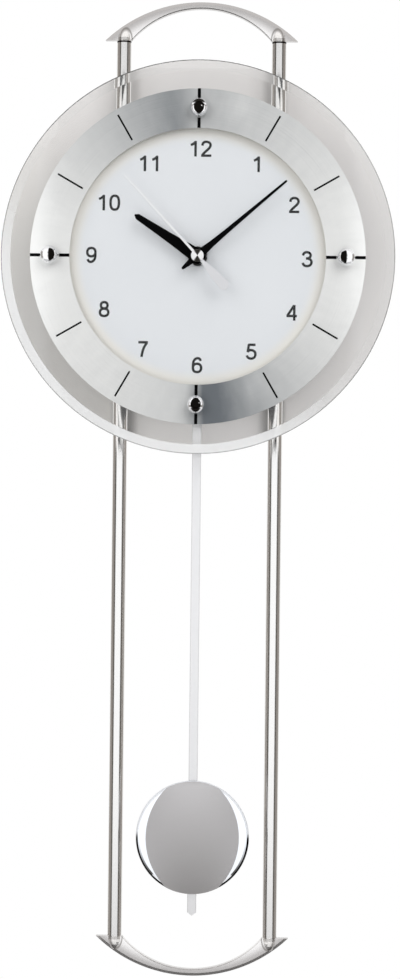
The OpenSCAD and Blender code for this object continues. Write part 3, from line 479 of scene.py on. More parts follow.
def sprayed(sheet, gloss, ior):
    # a sprayed coat's dust, and what its surface takes, with a little orange peel
    peel = sheet.noise(lacquer["peelScale"])
    dust = sheet.noise(lacquer["dustScale"], 2.0, 0.7)
    return dust, (sheet.vary(gloss, (dust, lacquer["dustSwing"])),
                  sheet.bump(peel, lacquer["strength"], lacquer["relief"]), 0.0, {"IOR": ior})


def lacquerFinish(name, colour, secondColour, gloss, ior=1.45):
    sheet = newFinish(name)
    dust, coat = sprayed(sheet, gloss, ior)
    tone = sheet.blend(dust * 1.3 - 0.2, colour, secondColour)
    return sheet.surface(tone, *coat)


secondHand = {
    "pointing": math.radians(317.3),  # clock angle of the needle at rest
    "needleTone": paint(240, 240, 241),
    "tailTone": paint(218, 218, 221),
    "dustTone": paint(214, 215, 216),
    "tailEnd": (-0.006, 0.0),
    "gloss": 0.42,
}


def secondHandFinish():
    # white needle, its counterweight end a greyer coat
    sheet = newFinish("handLacquer")
    x, z, radius = sheet.round(dialHeight)
    along = x * math.sin(secondHand["pointing"]) + z * math.cos(secondHand["pointing"])
    needle = sheet.step(along, *secondHand["tailEnd"])
    tone = sheet.blend(needle, secondHand["tailTone"], secondHand["needleTone"])
    dust, coat = sprayed(sheet, secondHand["gloss"], 1.45)
    dusty = sheet.blend(dust * 0.5, tone, secondHand["dustTone"])
    return sheet.surface(dusty, *coat)


zinc = {
    "crystalScale": 420.0,
    "hazeScale": 1500.0,
    "stops": [(0.2, paint(170, 176, 184)), (0.55, paint(196, 201, 206)),
              (0.85, paint(214, 214, 208))],
}


def zincFinish():
    # zinc-plated steel: soft crystal patches and fine stamping haze
    sheet = newFinish("zincPlate")
    crystal = sheet.cells(zinc["crystalScale"], "Color")
    patch = sheet.get("ShaderNodeSeparateColor", {0: crystal})
    haze = sheet.noise(zinc["hazeScale"], 3.0, 0.6)
    mix = patch * 0.5 + haze * 0.5
    return sheet.surface(
        sheet.get("ShaderNodeValToRGB", {0: mix}, stops=zinc["stops"]),
        0.3 + patch * 0.12 + haze * 0.08, sheet.bump(haze, 0.1, 0.00002), metallic=1.0)


board = {
    "maskTone": paint(20, 74, 44),
    "trackTone": paint(38, 104, 62),
    "padTone": paint(206, 204, 196),
    "trackPitch": 3400.0,
    "padScale": 330.0,
    "padEdge": (0.16, 0.24),
}


def boardFinish():
    # green board: tracks and pads of tinned copper under the solder mask
    sheet = newFinish("greenBoard")
    x, y, z = sheet.spot()
    lane = sheet.noise(1.0, 0.0, at=sheet.join(x * 180.0, 0.0, z * 30.0))
    wave = sheet.maths("SINE", (x + lane * 0.004) * board["trackPitch"])
    track = sheet.step(wave, 0.35, 0.75)
    pad = 1.0 - sheet.step(sheet.cells(board["padScale"]), *board["padEdge"])
    mask = sheet.blend(track, board["maskTone"], board["trackTone"])
    return sheet.surface(
        sheet.blend(pad, mask, board["padTone"]), 0.34 + (1.0 - pad) * 0.1,
        sheet.bump(track + pad, 0.3, 0.00003), metallic=pad)


copper = {
    "valleyTone": paint(116, 54, 28),
    "crestTone": paint(206, 122, 72),
    "turnsWave": 18000.0,
    "patinaScale": 600.0,
}


def windingFinish(name, axis):
    # enamelled copper with painted light and shade of the turns: bright crests, dark valleys
    # between them
    sheet = newFinish(name)
    turns = sheet.maths("SINE", sheet.spot()[axis] * copper["turnsWave"])
    patina = sheet.noise(copper["patinaScale"], 3.0)
    crest = sheet.vary(turns * 0.35 + 0.4, (patina, 0.5))
    return sheet.surface(
        sheet.blend(crest, copper["valleyTone"], copper["crestTone"]), 0.28 + patina * 0.14,
        sheet.bump(turns, 0.3, 0.00003), metallic=0.9)


cell = {
    "sleeveTone": paint(36, 92, 66),
    "bandTone": paint(198, 166, 96),
    "dustTone": paint(60, 80, 70),
    "steelTone": paint(190, 192, 194),
    "band": (0.0085, 0.0088),
    "bareEnd": (0.0228, 0.0231),
    "bareFoot": (-0.0237, -0.0235),
}


def batteryFinish():
    # shrink sleeve with a plain coloured band, bare steel at both ends
    sheet = newFinish("batterySleeve")
    x, y, z = sheet.spot()
    wrinkle = sheet.noise(1.0, 3.0, at=sheet.place(stretch=(40, 900, 900)))
    bare = sheet.maths("MAXIMUM", sheet.step(x, *cell["bareEnd"]),
                       1.0 - sheet.step(x, *cell["bareFoot"]))
    sleeve = sheet.blend(sheet.step(x, *cell["band"]), cell["sleeveTone"], cell["bandTone"])
    dusty = sheet.blend(wrinkle, sleeve, cell["dustTone"])
    return sheet.surface(
        sheet.blend(bare, sheet.blend(0.8, dusty, sleeve), cell["steelTone"]),
        0.3 + wrinkle * 0.12, sheet.bump(wrinkle, 0.15, 0.00004), metallic=bare)


bow = {
    "outerTone": paint(192, 188, 186),
    "innerTone": paint(236, 233, 231),
    "arcRadius": 0.08674,
    "arcHeight": 0.2171,  # of both arcs' centres, from the height half-way between the bows
    "middleHeight": -0.2173,
    "paintedLightening": (0.002, 0.0085),  # distances from the outer arc between which the painted light grows
    "grainScale": 900.0,
    "slowScale": 60.0,
    "gloss": 0.15,
    # the sockets: their distance from the middle, height of their open ends, and size
    "socketSide": 0.0472,
    "socketFoot": 0.0626,
    "socketSize": (0.004, 0.0078),
    "paintedNoseHighlight": paint(247, 244, 241),
    "noseEdge": (0.4, 0.6),
    "paintedOutlineShadeTone": paint(128, 123, 118),
    "paintedOutlineShade": ((0.55, 0.85), (0.95, 1.2)),
    "paintedOutlineShadeDepth": 0.75,
}


def bowFinish():
    # cast and buffed, with painted light and shade: darker at the outer edge, brightest along the
    # inner edge
    sheet = newFinish("castBow")
    x, y, z = sheet.spot()
    height = abs(z - bow["middleHeight"]) - bow["arcHeight"]
    inward = bow["arcRadius"] - sheet.length(x, height)
    grain = sheet.noise(bow["grainScale"], 4.0, 0.62)
    slow = sheet.noise(bow["slowScale"])
    bright = sheet.vary(sheet.step(inward, *bow["paintedLightening"]), (grain, 0.3), (slow, 0.2))
    tone = sheet.blend(bright, bow["outerTone"], bow["innerTone"])
    # painted shade: a dark outline round each bullet-shaped socket, and a painted highlight on
    # the socket's nose
    aside = (abs(x) - bow["socketSide"]) / bow["socketSize"][0]
    above = (height - bow["socketFoot"]) / bow["socketSize"][1]
    reach = aside * aside + above * above
    tone = sheet.blend(1.0 - sheet.step(reach, *bow["noseEdge"]), tone, bow["paintedNoseHighlight"])
    paintedOutline = sheet.between(reach, *bow["paintedOutlineShade"])
    return sheet.surface(
        sheet.blend(paintedOutline * bow["paintedOutlineShadeDepth"], tone, bow["paintedOutlineShadeTone"]),
        sheet.vary(bow["gloss"], (grain, 0.06), (slow, 0.04)), sheet.bump(grain, 0.25, 0.000004),
        metallic=0.65)


plate = {
    "paintedLitTopTone": paint(199, 196, 196),
    "paintedShadedFootTone": paint(146, 143, 142),
    "paintedSideSheenTone": paint(179, 176, 176),
    "lineTone": paint(176, 173, 172),
    "topHeight": -0.401,
    "footHeight": -0.468,
    "halfWidth": 0.026,
    "edgeWidth": 0.006,
    "lineStretch": (90, 90, 7000),
    "gloss": 0.4,
}


def plateFinish():
    # satin-rolled plate with fine lines across it, and painted light and shade: its sheen
    # strongest at the top and down the middle, darker towards the foot
    sheet = newFinish("satinPlate")
    x, y, z = sheet.spot()
    lines = sheet.noise(1.0, 4.0, 0.65, at=sheet.place(stretch=plate["lineStretch"]))
    drop = (plate["topHeight"] - z) / (plate["topHeight"] - plate["footHeight"])
    aside = (abs(x) / plate["halfWidth"]) ** 2.0
    middle = sheet.blend(drop, plate["paintedLitTopTone"], plate["paintedShadedFootTone"])
    tone = sheet.blend(aside, middle, plate["paintedSideSheenTone"])
    # painted shade along the upper edge
    upper = sheet.step(z, plate["topHeight"], plate["topHeight"] + plate["edgeWidth"])
    withPaintedEdgeShade = sheet.blend(upper * 0.7, tone, plate["paintedShadedFootTone"])
    return sheet.surface(
        sheet.blend(lines * 0.3, withPaintedEdgeShade, plate["lineTone"]),
        sheet.vary(plate["gloss"], (lines, 0.16)), sheet.bump(lines, 0.15, 0.00001),
        metallic=0.75)


bob = {
    "centreHeight": -0.433,
    "rimRadius": (0.0336, 0.0338),
    "tone": paint(243, 244, 247),
    "hazeTone": paint(232, 234, 238),
    # painted reflection on the lower half of the bevel
    "paintedReflectionBlack": paint(26, 26, 27),
    "brushedFrom": (-0.002, 0.004),
}


def bobFinish():
    # plated disc, its narrow bevel brushed above, and a painted reflection, black, on the bevel
    # below
    sheet = newFinish("platedBob")
    x, z, radius = sheet.round(bob["centreHeight"])
    haze, rough, normal = plated(sheet)
    rim = sheet.step(radius, *bob["rimRadius"])
    brushed = rim * sheet.step(z, *bob["brushedFrom"])
    shiny = sheet.blend(haze, bob["tone"], bob["hazeTone"])
    return sheet.surface(
        sheet.blend(rim - brushed, shiny, bob["paintedReflectionBlack"]), rough + brushed * 0.65, normal,
        metallic=1.0 - brushed * 0.8)


tube = {
    "tone": paint(236, 234, 232),
    "darkTone": paint(220, 217, 214),
    "seamTone": paint(30, 28, 27),
    "seamHeight": 0.0614,
    "seamHalf": (0.0004, 0.0006),
    "stretch": (7000, 7000, 50),
    "gloss": 0.15,
    "swing": 0.1,
    "relief": 0.000008,
}


def tubeFinish():
    # satin tube drawn along its length, a dark line round it just under the upper bow
    sheet = newFinish("drawnTube")
    x, y, z = sheet.spot()
    seam = 1.0 - sheet.step(abs(z - tube["seamHeight"]), *tube["seamHalf"])
    return drawnMetal(sheet, tube["tone"], tube["darkTone"], tube["stretch"], tube["gloss"],
                      tube["relief"], tube["swing"], (seam, tube["seamTone"]))


strip = {
    "tone": paint(230, 228, 228),
    "edgeTone": paint(182, 181, 180),
    "lineTone": paint(217, 216, 215),
    "edge": (0.00215, 0.00275),  # distances from the middle line
    "lineStretch": (6000, 6000, 60),
    "gloss": 0.32,
}


def stripFinish():
    # pendulum strip: rolled along its length, its cut edges duller
    sheet = newFinish("rolledStrip")
    x, y, z = sheet.spot()
    lines = sheet.noise(1.0, 4.0, 0.62, at=sheet.place(stretch=strip["lineStretch"]))
    tone = sheet.blend(sheet.step(abs(x), *strip["edge"]), strip["tone"], strip["edgeTone"])
    return sheet.surface(
        sheet.blend(lines * 0.5, tone, strip["lineTone"]),
        sheet.vary(strip["gloss"], (lines, 0.16)), sheet.bump(lines, 0.25, 0.00001), metallic=0.9)


plastics = {  # name, two screen tones, scale of the grain, gloss and relief of each slot
    "rubber": ("feltedRubber", (34, 34, 35), (52, 51, 50), 2400.0, 0.78, 0.00006),
    "housing_plastic": ("housingPlastic", (46, 47, 49), (58, 59, 61), 1900.0, 0.5, 0.00005),
    "movement_plastic": ("movementPlastic", (38, 38, 40), (50, 50, 52), 2600.0, 0.45, 0.00003),
    "black_plastic": ("chipResin", (30, 30, 31), (44, 44, 45), 3600.0, 0.55, 0.00002),
    "ferrite": ("ferriteRod", (58, 57, 58), (84, 82, 80), 1500.0, 0.5, 0.00006),
    "gear_plastic": ("gearPlastic", (238, 236, 228), (226, 223, 212), 2200.0, 0.4, 0.00002),
    "rotor_magnet": ("rotorMagnet", (52, 52, 54), (72, 71, 70), 2800.0, 0.38, 0.00003),
    "button_plastic": ("buttonPlastic", (226, 226, 222), (208, 208, 203), 2400.0, 0.42, 0.00003),
}

finishes = {  # material slot of the record, to its Blender material
    "satin_tube": tubeFinish(),
    "polished_bow": bowFinish(),
    "dark_steel": drawnMetal(
        newFinish("blackenedSteel"), paint(70, 70, 74), paint(34, 34, 36),
        stretch=(2600, 2600, 2600), gloss=0.36, relief=0.00002),
    "zinc_steel": zincFinish(),
    "clear_glass": glassFinish(),
    "dial_paint": dialFinish(),
    "brushed_aluminium": ringFinish(),
    "black_paint": lacquerFinish("blackLacquer", paint(6, 6, 7), paint(12, 12, 13),
                                 gloss=0.45, ior=1.12),
    "white_paint": lacquerFinish("whiteLacquer", paint(222, 223, 224), paint(212, 213, 215),
                                 gloss=0.42),
    "chrome": chromeFinish(),
    "clear_plastic": clearPlasticFinish(),
    "pale_nut": drawnMetal(
        newFinish("paleNut"), paint(232, 232, 232), paint(212, 212, 213),
        stretch=(3000, 3000, 3000), gloss=0.35, relief=0.00001),
    "board": boardFinish(),
    "tin_can": drawnMetal(
        newFinish("tinnedSheet"), paint(212, 210, 204), paint(182, 180, 174),
        stretch=(1800, 1800, 500), gloss=0.26, relief=0.00001),
    "copper_wire": windingFinish("copperAlongX", 0),
    "battery_jacket": batteryFinish(),
    "satin_strip": stripFinish(),
    "satin_plate": plateFinish(),
}
for slotName, (name, tone, wornTone, *values) in plastics.items():
    finishes[slotName] = plasticFinish(name, paint(*tone), paint(*wornTone), *values)
ownFinishes = {  # nodes whose finish differs from the rest of their slot
    "pendulum_drive_coil": windingFinish("copperAlongY", 1),
    "hub_cap": capFinish(),
    "bob_disc": bobFinish(),
    "dome_nuts": ballFinish(),
    "second_hand": secondHandFinish(),
}
print("finishes made:", len(finishes) + len(ownFinishes))

# Carried nodes

for name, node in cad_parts.items():
    for place in node.material_slots:
        place.material = finishes[place.material.name.split(".")[0]]
for name, finish in ownFinishes.items():
    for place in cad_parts[name].material_slots:
        place.material = finish
print("carried nodes dressed:", len(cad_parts))


def addObject(name, data):
    thing = bpy.data.objects.new(name, data)
    bpy.context.scene.collection.objects.link(thing)
    return thing


def keptMesh(name, work):
    # turns a working mesh's faces outwards and keeps it as a plain mesh
    bmesh.ops.recalc_face_normals(work, faces=work.faces)
    data = bpy.data.meshes.new(name)
    work.to_mesh(data)
    work.free()
    return data


def meshPiece(name, mesh, body, slotName):
    piece = addObject(name, mesh)
    if not mesh.materials:
        mesh.materials.append(finishes[slotName])
    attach(piece, body)
    return piece


# Numerals

numerals = {
    "capHeight": 0.0095,
    "advance": 0.776,
    "stroke": 0.16,
    "thickness": 0.00004,
    "layerStep": 0.05,  # share of the thickness that each further stroke adds
    "sharpest": 0.6,
    "back": -0.0507,  # the dial's front
    "centres": {  # where each printed number's middle stands, in millimetres from the dial's
        12: (1.3, 65.9), 1: (35.0, 56.7), 2: (58.4, 32.1), 3: (66.6, -0.8),
        4: (57.6, -33.5), 5: (33.2, -57.4), 6: (0.3, -65.9), 7: (-32.7, -56.5),
        8: (-56.7, -32.3), 9: (-64.9, 0.6), 10: (-54.5, 32.6), 11: (-30.6, 56.7)},
}


def loop(cx, cy, rx, ry, power=2.25, count=36):
    # a slightly squared ellipse, closed
    points = []
    for k in range(count):
        a = 2 * math.pi * k / count
        c, s = math.cos(a), math.sin(a)
        points.append((cx + rx * math.copysign(abs(c) ** (2 / power), c),
                       cy + ry * math.copysign(abs(s) ** (2 / power), s)))
    return points, True


def smooth(points, steps=7):
    # a curve through the points, open
    chain = [points[0]] + list(points) + [points[-1]]
    curve = []
    for k in range(1, len(chain) - 2):
        p0, p1, p2, p3 = (Vector(p) for p in chain[k - 1:k + 3])
        for j in range(steps):
            t = j / steps
            curve.append(tuple(0.5 * (2 * p1 + (p2 - p0) * t
                                      + (2 * p0 - 5 * p1 + 4 * p2 - p3) * t * t
                                      + (3 * p1 - p0 - 3 * p2 + p3) * t ** 3)))
    curve.append(tuple(points[-1]))
    return curve, False


def straight(*points):
    return list(points), False


nineTurned = [
    loop(0.395, 0.32, 0.262, 0.268),
    smooth([(0.63, 0.77), (0.56, 0.9), (0.42, 0.945), (0.26, 0.87), (0.16, 0.7),
            (0.133, 0.5), (0.135, 0.34)])]
figures = {
    "0": [loop(0.388, 0.5, 0.268, 0.445, 2.5)],
    "1": [straight((0.46, 0.0), (0.46, 1.0)),
          smooth([(0.448, 0.93), (0.36, 0.84), (0.26, 0.775), (0.15, 0.735)])],
    "2": [smooth([(0.115, 0.7), (0.16, 0.85), (0.27, 0.93), (0.4, 0.945), (0.55, 0.9),
                  (0.635, 0.79), (0.63, 0.66), (0.55, 0.53), (0.4, 0.385), (0.22, 0.215),
                  (0.115, 0.075)]),
          straight((0.045, 0.058), (0.7, 0.058))],
    "3": [smooth([(0.11, 0.735), (0.16, 0.86), (0.26, 0.93), (0.38, 0.945), (0.52, 0.9),
                  (0.595, 0.79), (0.585, 0.67), (0.51, 0.585), (0.4, 0.55), (0.3, 0.545)]),
          smooth([(0.3, 0.545), (0.42, 0.545), (0.56, 0.49), (0.645, 0.39), (0.655, 0.26),
                  (0.59, 0.13), (0.46, 0.065), (0.34, 0.055), (0.21, 0.095), (0.13, 0.18),
                  (0.1, 0.27)])],
    "4": [straight((0.515, 0.97), (0.09, 0.31)), straight((0.04, 0.293), (0.7, 0.293)),
          straight((0.53, 0.0), (0.53, 1.0))],
    "5": [straight((0.2, 0.942), (0.66, 0.942)), straight((0.235, 0.97), (0.16, 0.47)),
          smooth([(0.15, 0.49), (0.25, 0.575), (0.38, 0.6), (0.52, 0.565), (0.63, 0.46),
                  (0.655, 0.32), (0.61, 0.17), (0.5, 0.08), (0.37, 0.055), (0.23, 0.09),
                  (0.14, 0.175), (0.11, 0.26)])],
    "6": nineTurned,
    "7": [straight((0.09, 0.94), (0.7, 0.94)),
          smooth([(0.655, 0.92), (0.54, 0.77), (0.43, 0.55), (0.36, 0.33), (0.32, 0.13),
                  (0.305, 0.0)])],
    "8": [loop(0.388, 0.742, 0.212, 0.203), loop(0.388, 0.29, 0.268, 0.235)],
    "9": [([(0.776 - x, 1 - y) for x, y in path], closed) for path, closed in nineTurned],
}


def ribbon(work, path, closed, half, toWorld, thickness):
    # a flat plate of even width along a path, closed all round
    count = len(path)
    rings = []
    for k, point in enumerate(path):
        here, ways = Vector(point), []
        if closed or k > 0:
            ways.append((here - Vector(path[k - 1])).normalized())
        if closed or k < count - 1:
            ways.append((Vector(path[(k + 1) % count]) - here).normalized())
        way = sum(ways, Vector((0, 0))).normalized()
        side = Vector((-way.y, way.x))
        lean = max(numerals["sharpest"], abs(side.dot(Vector((-ways[0].y, ways[0].x)))))
        left, right = here + side * half / lean, here - side * half / lean
        rings.append([work.verts.new(toWorld(p.x, p.y, depth)) for p, depth in (
            (left, 0), (right, 0), (right, thickness), (left, thickness))])
    for k in range(count if closed else count - 1):
        a, b = rings[k], rings[(k + 1) % count]
        for j in range(4):
            work.faces.new((a[j], a[(j + 1) % 4], b[(j + 1) % 4], b[j]))
    if not closed:
        work.faces.new(rings[0])
        work.faces.new(list(reversed(rings[-1])))


def makeNumerals():
    work, size, cap = bmesh.new(), numerals, numerals["capHeight"]
    for number, (middleX, middleY) in size["centres"].items():
        strokes = []
        for place, figure in enumerate(str(number)):
            for path, closed in figures[figure]:
                strokes.append(([(x + place * size["advance"], y) for x, y in path], closed))
        allX = [x for path, closed in strokes for x, y in path]
        centreX = (min(allX) + max(allX)) / 2

        def toWorld(x, y, depth):
            return Vector((middleX / 1000 + (x - centreX) * cap,
                           size["back"] - depth,
                           dialHeight + middleY / 1000 + (y - 0.5) * cap))
        for layer, (path, closed) in enumerate(strokes):
            ribbon(work, path, closed, size["stroke"] / 2, toWorld,
                   size["thickness"] * (1 + layer * size["layerStep"]))
    meshPiece("numerals", keptMesh("numerals", work), "clock", "black_paint")


makeNumerals()
print("numerals drawn")

# Screws and windings by Geometry Nodes


def looseParts(nodeName):
    # the box of every separate solid in a carried node
    work = bmesh.new()
    work.from_mesh(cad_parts[nodeName].data)
    bmesh.ops.remove_doubles(work, verts=work.verts, dist=1e-7)
    seen, boxes = set(), []
    for start in work.verts:
        if start in seen:
            continue
        seen.add(start)
        waiting, found = [start], []
        while waiting:
            vert = waiting.pop()
            found.append(vert.co.copy())
            for edge in vert.link_edges:
                other = edge.other_vert(vert)
                if other not in seen:
                    seen.add(other)
                    waiting.append(other)
        boxes.append((Vector(min(p[k] for p in found) for k in range(3)),
                      Vector(max(p[k] for p in found) for k in range(3))))
    work.free()
    return boxes


screwForm = {  # what all screws share; lengths are shares of the head's radius
    "spokes": 40,
    "topRings": 11,
    "topReach": 0.93,
    "topStart": 0.35,
    "rimDrop": 0.07,
    "underRise": 0.04,
    "underReach": 0.96,
    "turnRows": 5,  # rows of each turn of the thread
    "plainRows": 2,
    "pointLength": 0.0012,
    "pointRadius": 0.35,  # of the shank's
    "recessReach": 0.6,
    "recessSlope": 0.15,
}
screwSizes = ("headRadius", "headHeight", "crown", "radius", "length", "pitch",
              "threadDepth", "slot", "recess", "coneDepth")
screws = {  # node that each kind replaces, and its sizes in that order, in metres
    "saddle_screws": (
        0.0023, 0.0016, 0.0005, 0.0015, 0.014, 0.0008, 0.0003, 0.00032, 0.0008, 0),
    "hanger_screws": (
        0.003, 0, 0, 0.0015, 0.012, 0.0008, 0.0003, 0.0004, 0.0008, 0.0015),
    "movement_screws": (
        0.0017, 0.001, 0.0003, 0.00085, 0.0075, 0.0005, 0.00018, 0.00024, 0.0005, 0),
}


def screwProfile(size):
    # radius, y, whether the recess cuts there, and thread depth, from the head's middle
    form, head, shank = screwForm, size["headRadius"], size["radius"]
    top, crown, cone = size["headHeight"], size["crown"], size["coneDepth"]
    profile = []
    for k in range(form["topRings"]):
        share = (k + form["topStart"]) / (form["topRings"] - 1 + form["topStart"])
        r = head * form["topReach"] * share
        profile.append((r, top - crown * (r / head) ** 2, True, 0))
    profile.append((head, top - crown - head * form["rimDrop"], False, 0))
    if cone:
        profile.append((shank, -cone, False, 0))
    else:
        profile += [(head, head * form["underRise"], False, 0),
                    (head * form["underReach"], 0, False, 0), (shank, 0, False, 0)]
    threaded = size["length"] - cone - form["pointLength"]
    rows = int(threaded / (size["pitch"] / form["turnRows"]))
    for k in range(rows + 1):
        depth = size["threadDepth"] if k > form["plainRows"] else 0
        profile.append((shank, -cone - threaded * k / rows, False, depth))
    profile.append((shank * form["pointRadius"], -size["length"] + 0.0001, False, 0))
    return profile


def screwMesh(name, size):
    # head towards +y with a cross recess, shank with a thread, all as one turned skin
    work, spokes, head = bmesh.new(), screwForm["spokes"], size["headRadius"]
    rings = []
    for r, y, cut, thread in screwProfile(size):
        ringVerts = []
        for j in range(spokes):
            a = 2 * math.pi * j / spokes
            wave = abs(((-y / size["pitch"] + j / spokes) % 1) - 0.5) * 2
            reach = r - thread * wave
            x, z = reach * math.cos(a), reach * math.sin(a)
            arm = min(abs(x), abs(z)) - size["slot"]
            end = max(abs(x), abs(z)) - head * screwForm["recessReach"]
            height = y
            if cut and arm < 0 and end < 0:
                height -= size["recess"] * min(1, -arm / (size["slot"] * 0.5)) \
                    * min(1, -end / (head * screwForm["recessSlope"]))
            ringVerts.append(work.verts.new((x, height, z)))
        rings.append(ringVerts)
    for a, b in zip(rings, rings[1:]):
        for j in range(spokes):
            work.faces.new((a[j], a[(j + 1) % spokes], b[(j + 1) % spokes], b[j]))
    deepest = min(v.co.y for v in rings[0])
    for ringVerts, y in ((rings[0], deepest), (rings[-1], -size["length"])):
        hub = work.verts.new((0, y, 0))
        for j in range(spokes):
            work.faces.new((ringVerts[j], ringVerts[(j + 1) % spokes], hub))
    return keptMesh(name, work)


def newTree(name, inputs):
    # a modifier's tree, and the wires of its inputs
    tree = bpy.data.node_groups.new(name, "GeometryNodeTree")
    for label, kind in inputs.items():
        tree.interface.new_socket(name=label, in_out="INPUT", socket_type="NodeSocket" + kind)
    tree.interface.new_socket(
        name="Geometry", in_out="OUTPUT", socket_type="NodeSocketGeometry")
    sheet = Sheet(tree)
    start = sheet.put("NodeGroupInput")
    return sheet, {label: Wire(sheet, start.outputs[label]) for label in inputs}


def closeTree(sheet, geometry, finish):
    real = sheet.get("GeometryNodeRealizeInstances", {0: geometry})
    dressed = sheet.get("GeometryNodeSetMaterial", {"Geometry": real, "Material": finish})
    sheet.put("NodeGroupOutput", {0: dressed})
    return sheet.tree


def grown(name, mesh, tree, values):
    # runs a tree on a mesh and keeps the result as a plain mesh
    holder = addObject(name + "Grower", mesh)
    modifier = holder.modifiers.new("grow", "NODES")
    modifier.node_group = tree
    for socket in tree.interface.items_tree:
        if socket.name in values:
            modifier[socket.identifier] = values[socket.name]
    bpy.context.view_layer.update()
    graph = bpy.context.evaluated_depsgraph_get()
    result = bpy.data.meshes.new_from_object(holder.evaluated_get(graph), depsgraph=graph)
    result.name = name
    bpy.data.objects.remove(holder)
    return result


def screwTree():
    sheet, given = newTree("screwRows", {
        "Geometry": "Geometry", "Screw": "Object", "Turn seed": "Int", "Finish": "Material"})
    points = sheet.get("GeometryNodeMeshToPoints", {0: given["Geometry"]})
    screw = sheet.get("GeometryNodeObjectInfo", {"Object": given["Screw"]}, "Geometry")
    turn = sheet.get("FunctionNodeRandomValue", {
        0: (0, 0, 0), 1: (0, 1.5, 0), "Seed": given["Turn seed"]}, data_type="FLOAT_VECTOR")
    placed = sheet.get("GeometryNodeInstanceOnPoints", {
        "Points": points, "Instance": screw, "Rotation": turn})
    return closeTree(sheet, placed, given["Finish"])


def windingTree():
    sheet, given = newTree("wireWinding", {
        "Geometry": "Geometry", "Turns": "Float", "Radius": "Float", "Length": "Float",
        "Wire radius": "Float", "Place": "Vector", "Turned": "Vector", "Finish": "Material"})
    helix = sheet.get("GeometryNodeCurveSpiral", {
        "Resolution": 28, "Rotations": given["Turns"], "Start Radius": given["Radius"],
        "End Radius": given["Radius"], "Height": given["Length"]})
    section = sheet.get("GeometryNodeCurvePrimitiveCircle", {
        "Resolution": 6, "Radius": given["Wire radius"]})
    wound = sheet.get("GeometryNodeCurveToMesh", {
        "Curve": helix, "Profile Curve": section, "Fill Caps": True})
    moved = sheet.get("GeometryNodeTransform", {
        "Geometry": wound, "Translation": given["Place"], "Rotation": given["Turned"]})
    return closeTree(sheet, moved, given["Finish"])


def placeScrews():
    tree = screwTree()
    for seed, (nodeName, sizes) in enumerate(screws.items(), 3):
        size = dict(zip(screwSizes, sizes))
        spots = [((low.x + high.x) / 2, high.y - size["headHeight"], (low.z + high.z) / 2)
                 for low, high in looseParts(nodeName)]
        rows = bpy.data.meshes.new(nodeName + "Spots")
        rows.from_pydata(spots, [], [])
        pattern = addObject(nodeName + "Pattern", screwMesh(nodeName + "Shape", size))
        mesh = grown(nodeName + "Threaded", rows, tree, {
            "Screw": pattern, "Turn seed": seed, "Finish": finishes["zinc_steel"]})
        bpy.data.objects.remove(pattern)
        piece = meshPiece(nodeName + "Threaded", mesh, "clock", "zinc_steel")
        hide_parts(nodeName)
        print("screws:", nodeName, len(spots), "of", len(mesh.polygons), "faces")


windings = {  # where each winding starts, its length, turns, radius and wire radius, in metres
    "antennaWinding": ((-0.0099, -0.04, -0.046), 0.0198, 53, 0.00503, 0.00018),
    "minuteCoilWinding": ((-0.0222, -0.036, -0.104), 0.008, 30, 0.00233, 0.00013),
    "secondCoilWinding": ((0.0118, -0.0347, -0.104), 0.008, 30, 0.00233, 0.00013),
    "driveCoilWinding": ((0, -0.0327, -0.111), 0.0026, 8, 0.00452, 0.00016),
}
alongX = ((0, math.pi / 2, 0), finishes["copper_wire"])
alongY = ((math.pi / 2, 0, 0), ownFinishes["pendulum_drive_coil"])


def windCoils():
    tree = windingTree()
    for name, (start, length, turns, radius, wire) in windings.items():
        turned, finish = alongY if name == "driveCoilWinding" else alongX
        mesh = grown(name, bpy.data.meshes.new(name + "Start"), tree, {
            "Turns": float(turns), "Radius": radius, "Length": length,
            "Wire radius": wire, "Place": start, "Turned": turned, "Finish": finish})
        meshPiece(name, mesh, "clock", "copper_wire")
        print("winding:", name, len(mesh.polygons), "faces")


placeScrews()
windCoils()

# Studio

camera = {
    "place": (0.04, -1.6, -0.218),
    "lens": 93.5,
    "roll": -0.64,
    "turn": 1.43,
    "shift": 0.0027,
    "rise": 0.0006,
}

sky = {
    "tone": (0.97, 0.985, 1, 1),
    "strength": 0.42,
}


def makeWorld():
    # pale sky for the light on matt surfaces; what is seen or mirrored of it is white
    world = bpy.data.worlds.new("studioSky")
    bpy.context.scene.world = world
    world.use_nodes = True
    sheet = Sheet(world.node_tree)
    pale = sheet.get("ShaderNodeBackground", {"Color": sky["tone"], "Strength": sky["strength"]})
    white = sheet.get("ShaderNodeBackground", {"Color": (1, 1, 1, 1), "Strength": 1.0})
    seen = sheet.ray("Camera", "Glossy", "Transmission")
    sheet.put("ShaderNodeOutputWorld", {"Surface": sheet.mixed(seen, pale, white)})


def stageMesh(name, corners, faces=None):
    data = bpy.data.meshes.new(name)
    data.from_pydata(corners, [], faces or [tuple(range(len(corners)))])
    thing = addObject(name, data)
    return thing


def showOnlyTo(thing, *kinds):
    for kind in ("camera", "diffuse", "glossy", "transmission", "volume_scatter", "shadow"):
        setattr(thing, "visible_" + kind, kind in kinds)


def card(name, middle, right, up, colour, fade=0):
    # a studio card that only mirrors see, given by its middle and two half-sides; an
    # upright one may be clear again over its last few millimetres to the sides
    m, r, u = Vector(middle), Vector(right), Vector(up)
    thing = stageMesh(name, [m - r - u, m + r - u, m + r + u, m - r + u])
    sheet = newFinish(name + "Glow")
    shader = sheet.glow(colour)
    if fade:
        x, y, z = sheet.spot(middle)
        away = sheet.step(abs(x), right[0] - fade, right[0])
        shader = sheet.mixed(away, shader, sheet.get("ShaderNodeBsdfTransparent"))
    thing.data.materials.append(sheet.close(shader))
    showOnlyTo(thing, "glossy")


